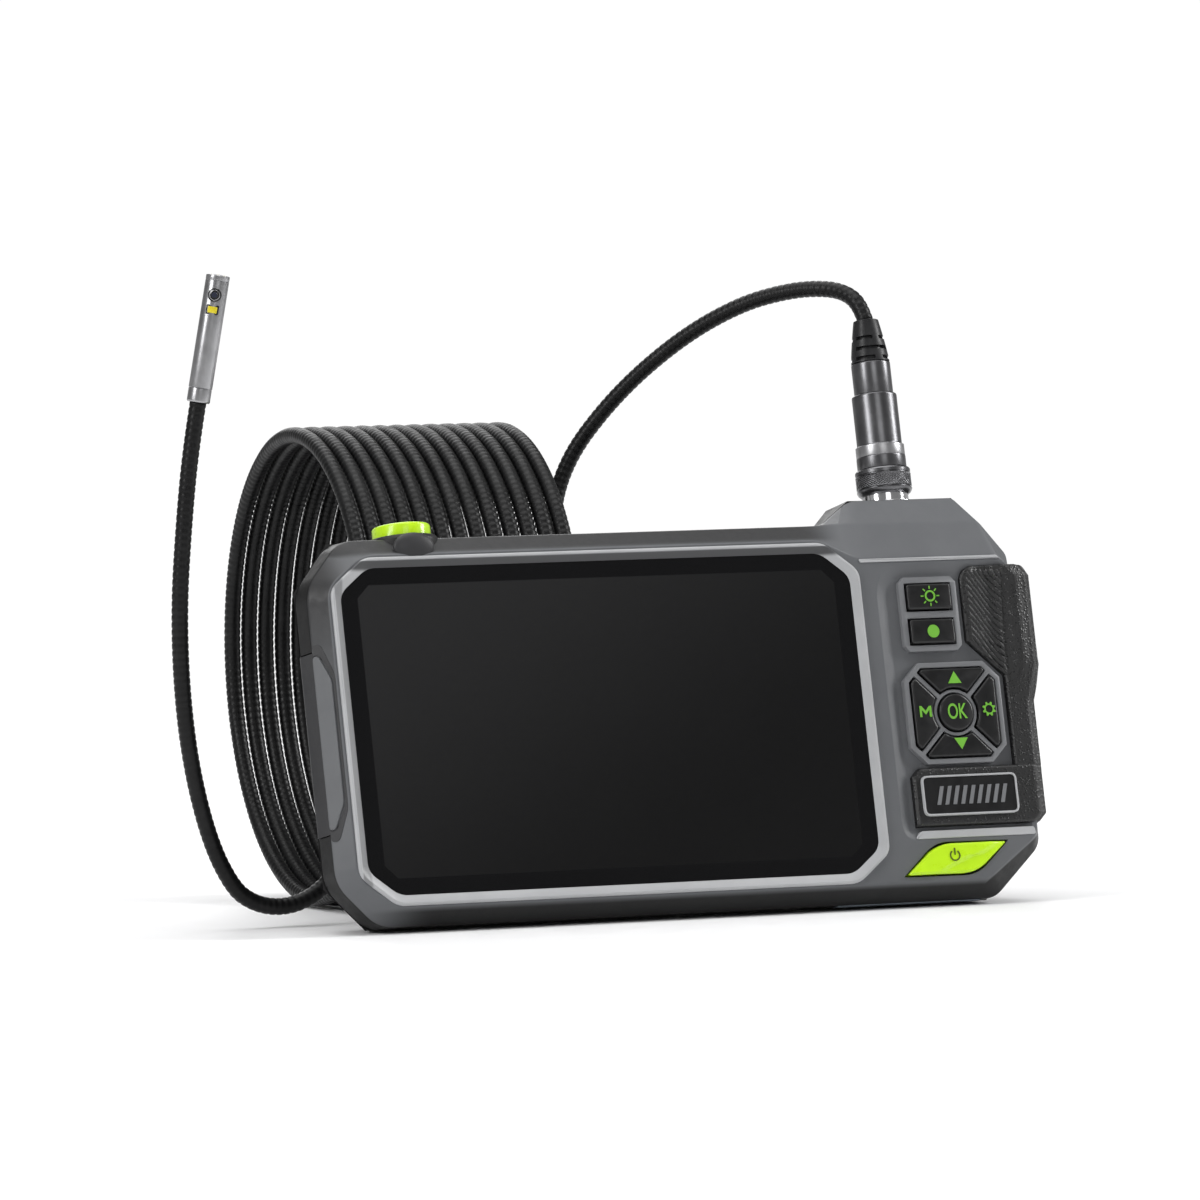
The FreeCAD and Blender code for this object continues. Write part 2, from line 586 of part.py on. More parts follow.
def make_keys():
    gap = SIZES["key_gap"]
    pad_frame = [pad_outline(D.frame_rim), (D.pad_x, D.pad_z, D.ok_radius + D.key_gap)]
    spaces = [plate(f"arm_space_{k}", [arm_key(k, 0.0)], -3, 6, Placement()) for k in range(4)]
    frame = plate("pad_frame_blank", pad_frame, -D.frame_proud, D.frame_back, Placement())
    node(cut("pad_frame", frame, fused("arm_spaces", spaces), HANDSET))
    for k, name in enumerate(("up_key", "settings_key", "down_key", "menu_key")):
        node(plate(name, [arm_key(k, gap)], -D.key_proud, D.key_foot, HANDSET))
    ok = doc.addObject("PartDesign::Body", "ok_key")
    add_pad(ok, [(D.pad_x, D.pad_z, D.ok_radius)], -D.key_proud - 0.2, D.key_foot)
    ok.Placement = HANDSET
    node(ok)

    node(plate("pair_frame", [pair_outline, record_space, light_space], -0.3, D.frame_back, HANDSET))
    for name, (low, high) in (
        ("record_key", (D.pair_low + D.pair_rim, D.pair_bar_low)),
        ("light_key", (D.pair_bar_high, D.pair_high - D.pair_rim)),
    ):
        left, right = D.pair_left + D.pair_rim, D.pair_right - D.pair_rim
        cap = rectangle(left + gap, low + gap, right - gap, high - gap)
        node(plate(name, [cap], -D.key_proud, D.key_foot, HANDSET))
    key("power_key", power_outline(0.2), rectangle(70.9, -33.0, 85.2, -30.6))

    cap_low = D.shutter_top - 5.5
    button = [
        rod("shutter_cap", (D.shutter_x, D.shutter_y, cap_low), (0, 0, 1), D.shutter_radius, 5.5),
        rod("shutter_stem", (D.shutter_x, D.shutter_y, cap_low - 1.2), (0, 0, 1), 2.5, 1.5),
    ]
    node(fused("shutter_button", button, HANDSET))
    cup_low = D.shutter_top - 10
    across = D.shutter_radius + D.shutter_gap
    cup_outside = rod("cup_outside", (D.shutter_x, D.shutter_y, cup_low), (0, 0, 1), across + 1.2, 3.5)
    cup_inside = rod("cup_inside", (D.shutter_x, D.shutter_y, cup_low + 0.9), (0, 0, 1), across, 8)
    skin = loft("cup_skin", [
        (inner(rim_outline, D.wall + 0.05), D.face_drop),
        (inner(parting_outline(D.parting), D.wall + 0.05), D.parting),
        (inner(rear_outline, D.wall + 0.05), D.rear_depth - D.wall),
    ])
    cup = doc.addObject("Part::Common", "shutter_cup")
    cup.Base, cup.Tool = cut("cup_blank", cup_outside, cup_inside), skin
    cup.Placement = HANDSET
    node(cup)
    switch = block("switch_body", (D.shutter_x - 3, D.shutter_y - 3, cup_low + 0.9),
                   (D.shutter_x + 3, D.shutter_y + 3, cup_low + 1.9))
    node(group("shutter_switch", [switch], HANDSET))


# ---------------------------------------------------------------- grip, label, trims
def make_grip(whole_form):
    flange = [
        (D.grip_left + 1, D.grip_top - 1), (D.grip_left, D.grip_top - 2.7), (D.grip_left, 14.5),
        (D.pad_x + D.pad_half_wide + 2.6, 6.8), (D.pad_x + D.pad_half_wide + 2.6, D.panel_top),
        (D.panel_left + 1.8, D.panel_top), (D.panel_left, D.panel_top - 1.8), (D.panel_left, D.grip_low),
        (D.waist_right - 2, D.grip_low), (D.waist_right, D.grip_low + 2), (D.waist_right, 1),
        (D.grip_right, 9), (D.grip_right, D.grip_top - 2), (D.grip_right - 2, D.grip_top),
    ]
    blank = plate("grip_blank", [flange], -D.grip_proud, D.grip_depth, Placement())
    node(cut("rubber_grip", blank, whole_form, HANDSET))
    node(plate("label_plate", [
        cut_rectangle(D.label_left, D.label_low, D.label_right, D.label_high, 1.0, 1.0)
    ], -D.grip_proud - D.label_proud, -D.grip_proud, HANDSET))
    trim = block("trim_bar", (50, 4.4, -D.body_bottom - 0.2), (84, 6.4, -D.body_bottom))
    node(group("base_trim", [trim], HANDSET))


def make_ports(whole_form):
    """The side cover, flush with the casing, and the panel, socket and card slot behind it."""
    left = -D.body_left
    gap = D.cover_gap
    slab = block(
        "cover_slab", (left - 1, D.cover_front + gap, D.cover_low + gap),
        (left + D.cover_thick, D.cover_back - gap, D.cover_high - gap))
    cover = doc.addObject("Part::Common", "port_cover")
    cover.Base, cover.Tool = slab, whole_form
    cover.Placement = HANDSET
    node(cover)
    deep = left + D.cover_recess
    panel = block("port_panel_blank", (deep - D.port_panel_thick, D.cover_front, D.cover_low),
                  (deep, D.cover_back, D.cover_high))
    usb_hole = block("usb_hole", (deep - 3, 5.9, -13.6), (deep + 1, 9.3, -4.2))
    card_hole = block("card_hole", (deep - 3, 6.6, 1.5), (deep + 1, 8.6, 14.0))
    node(cut("port_panel", panel, fused("port_holes", [usb_hole, card_hole]), HANDSET))
    shell = block("usb_can", (deep, 5.9, -13.6), (deep + 6.6, 9.3, -4.2))
    mouth = block("usb_mouth", (deep - 1, 6.25, -13.25), (deep + 5.4, 8.95, -4.55))
    tongue = block("usb_tongue", (deep + 1, 7.25, -12.0), (deep + 6, 7.95, -5.8))
    node(fused("usb_socket", [cut("usb_shell", shell, mouth), tongue], HANDSET))
    can = block("card_can", (deep, 6.6, 1.5), (deep + 6.6, 8.6, 14.0))
    slit = block("card_slit", (deep - 1, 7.1, 2.1), (deep + 5.9, 8.1, 13.4))
    node(cut("card_slot", can, slit, HANDSET))


# ---------------------------------------------------------------- threaded plug
PLUG = HANDSET * Placement(Vector(SIZES["plug_x"], SIZES["plug_y"], SIZES["plug_hump_top"]), Rotation())


def hollow(inside, outside, low, high):
    """Profile of a tube for turning."""
    return rectangle(inside, low, outside, high)


def make_plug():
    ring_low = D.socket_show
    ring_high = ring_low + D.ring_high
    socket = [
        (D.socket_bore, -D.socket_tail), (D.socket_thread, -D.socket_tail), (D.socket_thread, 0),
        (D.socket_radius, 0), (D.socket_radius, ring_low + D.socket_reach), (D.socket_bore, ring_low + D.socket_reach),
    ]
    node(turned("plug_socket", [socket], PLUG))
    node(turned("socket_nut", [hollow(D.socket_thread, D.nut_radius, -D.wall - D.nut_thick - 0.05, -D.wall - 0.05)],
                PLUG))
    node(turned("socket_contacts", [rectangle(0, -D.socket_tail, D.socket_bore, -4.0)], PLUG))
    bore = D.socket_radius + D.ring_clearance
    node(turned("coupling_ring", [[
        (bore, ring_low + 0.1), (D.ring_radius - 0.6, ring_low + 0.1), (D.ring_radius, ring_low + 1.2),
        (D.ring_radius, ring_high - 0.3), (D.ring_radius - 0.3, ring_high), (bore, ring_high),
    ]], PLUG))
    collar = ring_high + 0.15
    band = collar + D.collar_high
    barrel = band + D.band_high
    top = barrel + D.barrel_high
    node(turned("plug_barrel", [[
        (D.pin_block_radius, ring_high - D.spigot_high), (D.socket_radius, ring_high - D.spigot_high),
        (D.socket_radius, collar), (D.collar_radius, collar), (D.collar_radius, band), (D.band_radius, band),
        (D.band_radius, barrel), (D.barrel_radius, barrel), (D.barrel_radius, top), (D.pin_block_radius, top),
    ]], PLUG))
    node(turned("plug_contacts", [rectangle(0, -3.8, D.pin_block_radius, band)], PLUG))
    sleeve_top = top + D.sleeve_high
    node(turned("plug_sleeve", [rectangle(0, top, D.sleeve_radius, sleeve_top)], PLUG))
    boot_top = sleeve_top + D.boot_high
    node(turned("strain_relief", [[
        (0, sleeve_top), (D.boot_low_radius, sleeve_top), (D.boot_top_radius, boot_top), (0, boot_top),
    ]], PLUG))
    return PLUG.multVec(Vector(0, 0, boot_top.value))


# ---------------------------------------------------------------- cable
# Points of the lead, from the strain relief to the coil, and of the tail, from the head to the coil.
LEAD = (
    (58.6, 17.1, 124.8), (58.2, 18.9, 128.4), (56.8, 22.5, 131.1), (53.9, 27.6, 132.3),
    (48.3, 34.4, 131.9), (40, 42.6, 129), (29.8, 52.7, 121.5), (17.8, 61.7, 109), (7.8, 68.2, 93.5),
    (2.9, 63.6, 76.5), (0.5, 52.5, 61), (-1.1, 39.9, 47), (-2.6, 29.2, 32), (-5, 26.2, 18),
    (-6.8, 33.7, 7.6), (-7.8, 45.2, 2.4),
)
TAIL = (
    (-103.5, 3.7, 111.1), (-105.2, 4.1, 101.5), (-106.8, 4.7, 86.5), (-108, 5.7, 68), (-106.9, 7.7, 49.5),
    (-104, 10.1, 33), (-99.4, 12.1, 18), (-94.2, 13.3, 8.6), (-89.9, 13.7, 5.2), (-84.6, 13.7, 3.7),
    (-79.1, 13.6, 4.3), (-74, 13.4, 6.9), (-70.2, 13.1, 11.1), (-66.4, 13.2, 20.5), (-63.4, 13.4, 33),
    (-61.5, 14, 46.5),
)
CORNER_SHARE = 0.45


def rounded_path(points):
    """Straight runs joined by arcs that touch both runs, each as large as its two runs allow."""
    at = [Vector(*p) for p in points]
    edges = []
    radii = []
    start = at[0]
    for before, corner, after in zip(at, at[1:], at[2:]):
        into, out = corner - before, after - corner
        turn = into.getAngle(out)
        reach = CORNER_SHARE * min(into.Length, out.Length)
        radii.append(reach / math.tan(turn / 2))
        first = corner - into.normalize() * reach
        last = corner + out.normalize() * reach
        inward = (first + last) * 0.5 - corner
        depth = radii[-1] / math.cos(turn / 2) - radii[-1]
        middle = corner + inward.normalize() * depth
        edges.append(Part.LineSegment(start, first).toShape())
        edges.append(Part.Arc(first, middle, last).toShape())
        start = last
    edges.append(Part.LineSegment(start, at[-1]).toShape())
    return Part.Wire(edges), radii


def make_tube(name, points):
    """A round tube along rounded runs, with its volume compared with its section times its length."""
    path, radii = rounded_path(points)
    radius = SIZES["cable_radius"]
    start = Vector(*points[0])
    circle = Part.Wire([Part.makeCircle(radius, start, Vector(*points[1]) - start)])
    tube = doc.addObject("Part::Feature", name)
    tube.Shape = path.makePipeShell([circle], True, True)
    tube.Placement = Placement()
    expected = math.pi * radius**2 * path.Length
    print(f"{name}: length {path.Length:.1f}, volume {tube.Shape.Volume / expected:.4f} of section times length, "
          f"radii {[round(r, 1) for r in radii]}")
    assert abs(tube.Shape.Volume / expected - 1) < 0.02
    return node(tube)


def make_coil():
    """The closed outer shape of the coil: a ring one cable thick, on its side."""
    outer = D.coil_radius + D.cable_radius
    long = D.coil_gaps * D.coil_pitch + D.cable_radius * 2
    yaw = math.radians(SIZES["coil_yaw"])
    axis = Vector(math.cos(yaw), -math.sin(yaw), 0)
    first = Vector(SIZES["coil_first_x"], SIZES["coil_first_y"], SIZES["coil_radius"] + SIZES["cable_radius"])
    turns = rod("coil_outside", (0, 0, 0), (0, 0, 1), outer, long)
    space = rod("coil_inside", (0, 0, 0), (0, 0, 1), D.coil_radius - D.cable_radius, long)
    place = Placement(first - axis * SIZES["cable_radius"], Rotation(Vector(0, 0, 1), axis))
    node(cut("cable_coil", turns, space, place))


# ---------------------------------------------------------------- camera head
def make_head():
    """The head's own frame: Z out of the cable along the head, the side lens facing -Y."""
    base = Vector(*TAIL[0])
    along = (base - Vector(*TAIL[1])).normalize()
    side = Vector(0.41, 0.911, 0) - along * Vector(0.41, 0.911, 0).dot(along)
    place = Placement(base, Rotation(Vector(0, 0, 0), side, along, "ZYX"))
    barrel_low = D.ferrule_long + D.head_gap
    neck_top = D.ferrule_long + D.neck_long
    node(turned("head_ferrule", [[
        (0, 0), (D.ferrule_radius - 0.3, 0), (D.ferrule_radius, 0.3), (D.ferrule_radius, D.ferrule_long),
        (D.neck_radius, D.ferrule_long), (D.neck_radius, neck_top), (0, neck_top),
    ]], place))
    hole = D.neck_radius + D.neck_clearance
    blank = turned("barrel_blank", [[
        (hole, barrel_low), (D.head_radius - 0.2, barrel_low), (D.head_radius, barrel_low + 0.2),
        (D.head_radius, D.head_long - 0.2), (D.head_radius - 0.2, D.head_long), (D.head_bore, D.head_long),
        (D.head_bore, neck_top + 0.6), (hole, neck_top + 0.6),
    ]], Placement())
    window = block("head_window", (-D.window_half, -4, D.window_low), (D.window_half, 0, D.window_high))
    node(cut("head_barrel", blank, window, place))
    face = 0 - D.head_radius + 0.25
    frame = block("side_frame_blank", (-D.window_half, face, D.window_low), (D.window_half, -0.9, D.window_high))
    lens_hole = rod("side_lens_hole", (0, -4, D.lens_height), (0, 1, 0), D.lens_radius, 2.6)
    led_hole = block("side_led_hole", (-D.led_half_wide, -4, D.led_height - D.led_half_high),
                     (D.led_half_wide, -1.4, D.led_height + D.led_half_high))
    frame_form = doc.addObject("Part::Common", "side_frame")
    frame_form.Base = frame
    frame_form.Tool = rod("side_frame_limit", (0, 0, 0), (0, 0, 1), D.head_radius - 0.05, D.head_long)
    node(cut("side_camera", frame_form, fused("side_holes", [lens_hole, led_hole]), place))
    node(group("side_lens", [rod("side_lens_disc", (0, -2.1, D.lens_height), (0, 1, 0), D.lens_radius, 0.7)], place))
    node(group("side_led", [block("side_led_chip", (-D.led_half_wide, -2.15, D.led_height - D.led_half_high),
                                  (D.led_half_wide, -1.4, D.led_height + D.led_half_high))], place))
    cap_low = D.head_long - 1.4
    node(plate_on_end("front_cap", cap_low, D.head_long - 0.2, place))
    lens = rod("front_lens_disc", (0, 0, cap_low), (0, 0, 1), D.lens_radius, 1.3)
    node(group("front_lens", [lens], place))
    leds = [
        rod(f"front_led_{i}", (1.45 * math.cos(a), 1.45 * math.sin(a), cap_low), (0, 0, 1), 0.33, 1.25)
        for i, a in enumerate(math.radians(60 * k + 30) for k in range(6))
    ]
    node(group("front_leds", leds, place))
    board = block("head_board_blank", (-1.2, -0.5, neck_top + 1), (1.2, 0.1, cap_low - 0.2))
    node(group("head_board", [board], place))
    return place


def plate_on_end(name, low, high, place):
    """The disc that closes the head's end, with holes for its lens and six lights."""
    disc = rod(name + "_disc", (0, 0, low), (0, 0, 1), D.head_bore, high - low)
    holes = [rod(name + "_lens_hole", (0, 0, low - 1), (0, 0, 1), D.lens_radius, 4)]
    for k in range(6):
        a = math.radians(60 * k + 30)
        holes.append(rod(f"{name}_hole_{k}", (1.45 * math.cos(a), 1.45 * math.sin(a), low - 1), (0, 0, 1), 0.33, 4))
    return cut(name, disc, fused(name + "_holes", holes), place)


# ---------------------------------------------------------------- build, check and write
form = make_casings()
make_chassis()
make_display()
make_electronics()
make_keys()
make_grip(form)
make_ports(form)
cable_exit = make_plug()
make_tube("cable_lead", LEAD)
make_coil()
make_tube("cable_tail", TAIL)
head = make_head()
doc.recompute()

print("strain relief end", [round(c, 1) for c in cable_exit], "head axis", head.Rotation.multVec(Vector(0, 0, 1)))
for thing in doc.Objects:
    if {"Invalid", "Error"} & set(thing.State):
        raise RuntimeError(f"{thing.Name} failed: {thing.State}")
for thing in NODES:
    if thing.Shape.isNull() or not thing.Shape.isValid() or not thing.Shape.Solids:
        raise RuntimeError(f"{thing.Label} has no valid shape")
for thing in NODES:
    thing.Shape.exportStep(f"parts/{thing.Label}.step")
print(len(NODES), "sub-parts written")
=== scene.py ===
"""Looks of a handheld inspection camera: handset, threaded plug, coiled cable and two-lens head.

Handset pieces are drawn in millimetres in the handset's own frame (X right, Y back, Z up, origin at the
middle of the glass) and placed with HANDSET. The plug and the head have frames of their own.
"""
import bmesh
import bpy
import json
import math
import random
from mathutils import Matrix, Vector

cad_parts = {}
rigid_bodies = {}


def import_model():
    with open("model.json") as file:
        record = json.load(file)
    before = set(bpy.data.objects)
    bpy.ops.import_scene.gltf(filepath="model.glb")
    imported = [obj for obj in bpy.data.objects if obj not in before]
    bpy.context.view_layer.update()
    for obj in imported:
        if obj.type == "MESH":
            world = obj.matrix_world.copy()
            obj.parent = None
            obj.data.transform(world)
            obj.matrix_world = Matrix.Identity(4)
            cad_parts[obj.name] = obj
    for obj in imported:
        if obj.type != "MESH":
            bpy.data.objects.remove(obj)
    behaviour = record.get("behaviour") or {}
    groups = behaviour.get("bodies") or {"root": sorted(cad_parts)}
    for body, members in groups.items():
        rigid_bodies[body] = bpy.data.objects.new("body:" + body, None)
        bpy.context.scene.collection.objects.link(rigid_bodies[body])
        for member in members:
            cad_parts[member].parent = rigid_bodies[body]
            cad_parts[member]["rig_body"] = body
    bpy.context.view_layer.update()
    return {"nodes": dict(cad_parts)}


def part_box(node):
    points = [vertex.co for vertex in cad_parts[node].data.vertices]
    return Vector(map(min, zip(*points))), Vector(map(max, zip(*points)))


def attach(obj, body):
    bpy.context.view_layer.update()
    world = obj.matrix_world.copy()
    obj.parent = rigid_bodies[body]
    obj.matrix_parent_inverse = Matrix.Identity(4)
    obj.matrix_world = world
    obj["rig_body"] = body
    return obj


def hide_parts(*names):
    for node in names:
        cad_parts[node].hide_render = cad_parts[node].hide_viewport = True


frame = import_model()
scene = bpy.context.scene

MM = 0.001
LEAN = math.radians(12)
GLASS_THICK = 1.1
CORNER_STEPS = 5
EDGE_STEPS = 3
PROFILE_STEPS = 3

glass_low, glass_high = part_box("cover_glass")
TILT = Matrix.Rotation(-LEAN, 4, "X")
glass_middle = (glass_low + glass_high) / 2 - TILT @ Vector((0, GLASS_THICK / 2 * MM, 0))
HANDSET = Matrix.Translation(glass_middle) @ TILT @ Matrix.Scale(MM, 4)
TO_HANDSET = HANDSET.inverted()
PLUG = HANDSET @ Matrix.Translation((77.4, 15.4, 47.6))


def placed(name, data):
    """A new object in the scene."""
    made = bpy.data.objects.new(name, data)
    scene.collection.objects.link(made)
    return made


# ---------------------------------------------------------------- camera
AZIMUTH, ELEVATION, ROLL = math.radians(24.22), math.radians(1.97), math.radians(-1.12)
FOCAL_LENGTH, SENSOR_WIDTH, CLIP_END = 286.8, 36, 30
EYE_RIGHT, EYE_UP, EYE_BACK = -2.625, 25.836, 2021.02
back = Vector((-math.sin(AZIMUTH) * math.cos(ELEVATION), -math.cos(AZIMUTH) * math.cos(ELEVATION),
               math.sin(ELEVATION)))
level = Vector((math.cos(AZIMUTH), -math.sin(AZIMUTH), 0))
upright = back.cross(level)
right = level * math.cos(ROLL) + upright * math.sin(ROLL)
up = back.cross(right)
camera = placed("camera", bpy.data.cameras.new("camera"))
camera.data.lens = FOCAL_LENGTH
camera.data.sensor_width = SENSOR_WIDTH
camera.data.clip_end = CLIP_END
eye = glass_middle + (right * EYE_RIGHT + up * EYE_UP + back * EYE_BACK) * MM
camera.matrix_world = Matrix.Translation(eye) @ Matrix((right, up, back)).transposed().to_4x4()
scene.camera = camera


# ---------------------------------------------------------------- materials
class Tree:
    """A node tree with short names for what is used again and again."""

    def __init__(self, tree, coordinates):
        self.tree = tree
        self.place = self.add("ShaderNodeTexCoord").outputs[coordinates]

    def add(self, kind, **values):
        made = self.tree.nodes.new(kind)
        for key, value in values.items():
            if key in made.inputs:
                made.inputs[key].default_value = value
            else:
                setattr(made, key, value)
        return made

    def link(self, source, target):
        self.tree.links.new(source, target)

    def noise(self, scale, detail=3.0, rough=0.5):
        made = self.add("ShaderNodeTexNoise", Scale=scale, Detail=detail, Roughness=rough)
        self.link(self.place, made.inputs["Vector"])
        return made.outputs["Fac"]

    def cells(self, scale):
        made = self.add("ShaderNodeTexVoronoi", Scale=scale)
        self.link(self.place, made.inputs["Vector"])
        return made.outputs["Distance"]

    def ramp(self, source, low, high, start, end):
        """From low to high while the source goes from start to end."""
        made = self.add("ShaderNodeMapRange", interpolation_type="SMOOTHSTEP")
        for key, value in (("From Min", start), ("From Max", end), ("To Min", low), ("To Max", high)):
            made.inputs[key].default_value = value
        self.link(source, made.inputs["Value"])
        return made.outputs["Result"]

    def math(self, operation, a, b):
        made = self.add("ShaderNodeMath", operation=operation)
        for socket, value in zip(made.inputs, (a, b)):
            if isinstance(value, (int, float)):
                socket.default_value = value
            else:
                self.link(value, socket)
        return made.outputs[0]

    def axis(self, name, place=None):
        made = self.add("ShaderNodeSeparateXYZ")
        self.link(place or self.place, made.inputs["Vector"])
        return made.outputs[name]


class Nodes(Tree):
    """A material with one glossy shader."""

    def __init__(self, name):
        self.material = bpy.data.materials.new(name)
        self.material.use_nodes = True
        super().__init__(self.material.node_tree, "Object")
        self.shader = self.tree.nodes["Principled BSDF"]

    def mix(self, share, a, b):
        made = self.add("ShaderNodeMix", data_type="RGBA")
        self.link(share, made.inputs["Factor"])
        for key, value in (("A", a), ("B", b)):
            socket = [s for s in made.inputs if s.name == key and s.type == "RGBA"][0]
            if isinstance(value, tuple):
                socket.default_value = (*value, 1)
            else:
                self.link(value, socket)
        return [s for s in made.outputs if s.type == "RGBA"][0]

    def bump(self, height, depth, after=None):
        """A bump of the given depth in millimetres."""
        made = self.add("ShaderNodeBump", Strength=1.0, Distance=depth * MM)
        self.link(height, made.inputs["Height"])
        if after:
            self.link(after, made.inputs["Normal"])
        self.link(made.outputs["Normal"], self.shader.inputs["Normal"])
        return made.outputs["Normal"]

    def handset_place(self):
        """Object coordinates turned into the handset's own millimetres."""
        shift = self.add("ShaderNodeVectorMath", operation="SUBTRACT")
        self.link(self.place, shift.inputs[0])
        shift.inputs[1].default_value = glass_middle
        spin = self.add("ShaderNodeVectorRotate", rotation_type="X_AXIS")
        spin.inputs["Angle"].default_value = LEAN
        self.link(shift.outputs[0], spin.inputs["Vector"])
        size = self.add("ShaderNodeVectorMath", operation="SCALE")
        size.inputs["Scale"].default_value = 1 / MM
        self.link(spin.outputs[0], size.inputs[0])
        return size.outputs[0]

    def colour(self, source):
        self.link(source, self.shader.inputs["Base Color"])

    def mottled(self, scale, detail, dark, light):
        """A colour that drifts slowly between two shades."""
        return self.mix(self.ramp(self.noise(scale, detail), 0, 1, 0.3, 0.7), dark, light)

    def polish(self, marks, low, high, start=0.3, end=0.7):
        """Roughness that follows the marks from low to high."""
        self.link(self.ramp(marks, low, high, start, end), self.shader.inputs["Roughness"])

    def set(self, **values):
        for key, value in values.items():
            self.shader.inputs[key.replace("_", " ")].default_value = value


def shade(colour, by):
    return tuple(min(1.0, c * by) for c in colour)


def moulded(name, colour, rough=0.45, grain=2600, depth=0.02, vary=0.12, coat=0.0, coat_rough=0.3):
    """Moulded plastic: spark-eroded grain, slow colour drift and rubbed patches."""
    n = Nodes(name)
    n.colour(n.mottled(90, 4, shade(colour, 1 - vary), shade(colour, 1 + vary)))
    n.polish(n.noise(420, 5, 0.7), rough - 0.06, rough + 0.08)
    n.bump(n.noise(grain, 2), depth)
    n.set(IOR=1.5, Coat_Weight=coat, Coat_Roughness=coat_rough, Specular_IOR_Level=0.3)
    return n


def metal(name, colour, rough):
    """Plated or turned metal with slow changes of shade and polish."""
    n = Nodes(name)
    n.colour(n.mottled(300, 4, shade(colour, 0.9), shade(colour, 1.08)))
    marks = n.noise(420, 3, 0.45)
    n.polish(marks, rough - 0.02, rough + 0.02)
    n.bump(marks, 0.002)
    n.set(Metallic=1.0)
    return n


def casing_material():
    """Front casing: grey face and hump, charcoal top bevel, left bevel darkening towards charcoal higher up,
    black bumper, lower bevel and corner facet.
    """
    n = moulded("casing_grey", (0.085, 0.088, 0.093), 0.42, 2600, 0.012, 0.05)
    place = n.handset_place()
    x, y, z = (n.axis(name, place) for name in ("X", "Y", "Z"))
    off_face = n.ramp(y, 0, 1, 0.1, 0.4)
    below = n.math("MULTIPLY", n.ramp(z, 1, 0, -38.4, -37.1), n.ramp(x, 0, 1, -62, -44))
    slope = n.math("SUBTRACT", n.math("MULTIPLY", x, 0.577), n.math("MULTIPLY", z, 0.816))
    facet = n.ramp(slope, 0, 1, 79.1, 79.6)
    above = n.math("MULTIPLY", n.ramp(z, 0, 1, 36.9, 38.6), n.ramp(x, 1, 0, 50, 60))
    # The left bevel is mixed gradually towards charcoal from about the middle height up to the top.
    corner = n.math("MULTIPLY", n.ramp(z, 0, 1, -4, 32), n.ramp(x, 1, 0, -62, -56))
    hump = n.math("MULTIPLY", n.ramp(x, 0, 1, 55.0, 57.0), n.ramp(z, 0, 1, 33, 36))
    behind = n.math("MULTIPLY", n.ramp(y, 0, 1, 3.9, 4.2), n.math("SUBTRACT", 1, hump))
    black = n.math("MAXIMUM", n.math("MULTIPLY", n.math("MAXIMUM", below, facet), off_face), behind)
    charcoal = n.math("MULTIPLY", n.math("MAXIMUM", above, corner), off_face)
    grey = n.mottled(90, 4, (0.112, 0.116, 0.123), (0.122, 0.126, 0.133))
    n.colour(n.mix(black, n.mix(charcoal, grey, (0.026, 0.026, 0.027)), (0.008, 0.008, 0.0082)))
    return n


def bezel_material():
    """The lip round the glass: light, with painted shade darkening the slopes at the top and left."""
    n = moulded("bezel_lip", (0.42, 0.425, 0.435), 0.34, 2600, 0.008, 0.04)
    place = n.handset_place()
    x, z = n.axis("X", place), n.axis("Z", place)
    # Painted shade: masks for the top slope and, more faintly, the left slope.
    top = n.math("MULTIPLY", n.ramp(z, 0, 1, 33.8, 34.8), n.ramp(z, 1, 0, 36.1, 36.4))
    left = n.math("MULTIPLY", n.ramp(x, 1, 0, -59.0, -58.4), n.ramp(x, 0, 1, -60.8, -60.5))
    light = n.mottled(90, 4, (0.4, 0.405, 0.415), (0.44, 0.445, 0.455))
    # The painted shade turns the light lip colour to dark grey on those slopes.
    n.colour(n.mix(n.math("MAXIMUM", top, n.math("MULTIPLY", left, 0.55)), light, (0.07, 0.071, 0.074)))
    return n


def glass_material():
    """Cover glass: black printed border round a slightly lighter display that carries a painted sheen,
    lighter towards the upper left.
    """
    n = Nodes("display_glass")
    place = n.handset_place()
    x, z = n.axis("X", place), n.axis("Z", place)
    across, along = n.math("ABSOLUTE", x, 0), n.math("ABSOLUTE", z, 0)
    inside = n.math("MULTIPLY", n.ramp(across, 1, 0, 55.2, 55.5), n.ramp(along, 1, 0, 31.0, 31.3))
    inside = n.math("MULTIPLY", inside, n.ramp(n.math("ADD", across, along), 1, 0, 83.6, 83.9))
    # Painted reflection: the display's colour grows lighter towards the upper left, with a faint speckle.
    painted_sheen = n.ramp(n.math("SUBTRACT", n.math("MULTIPLY", z, 1.6), x), 0, 1, -60, 110)
    painted_sheen = n.math("ADD", painted_sheen, n.math("MULTIPLY", n.noise(900, 2), 0.05))
    screen = n.mix(painted_sheen, (0.0065, 0.0065, 0.0067), (0.021, 0.021, 0.0215))
    n.colour(n.mix(inside, (0.0045, 0.0045, 0.005), screen))
    n.polish(n.noise(40, 3, 0.6), 0.2, 0.24, 0.2, 0.8)
    n.set(IOR=1.45, Coat_Weight=0.12, Coat_Roughness=0.08, Specular_IOR_Level=0.2)
    return n


def rubber_material():
    """The grip's soft rubber, with a pebbled leather grain."""
    colour, cell, depth, rough = (0.005, 0.005, 0.0053), 1500, 0.07, 0.36
    n = Nodes("grip_rubber")
    pebble = n.cells(cell)
    n.colour(n.mottled(200, 4, shade(colour, 0.8), shade(colour, 1.25)))
    n.polish(pebble, rough - 0.14, rough + 0.12, 0.1, 0.6)
    first = n.bump(n.noise(cell * 2.2, 3), depth * 0.35)
    n.bump(n.ramp(pebble, 1, 0, 0.0, 0.55), depth, first)
    n.set(IOR=1.5, Specular_IOR_Level=0.55)
    return n


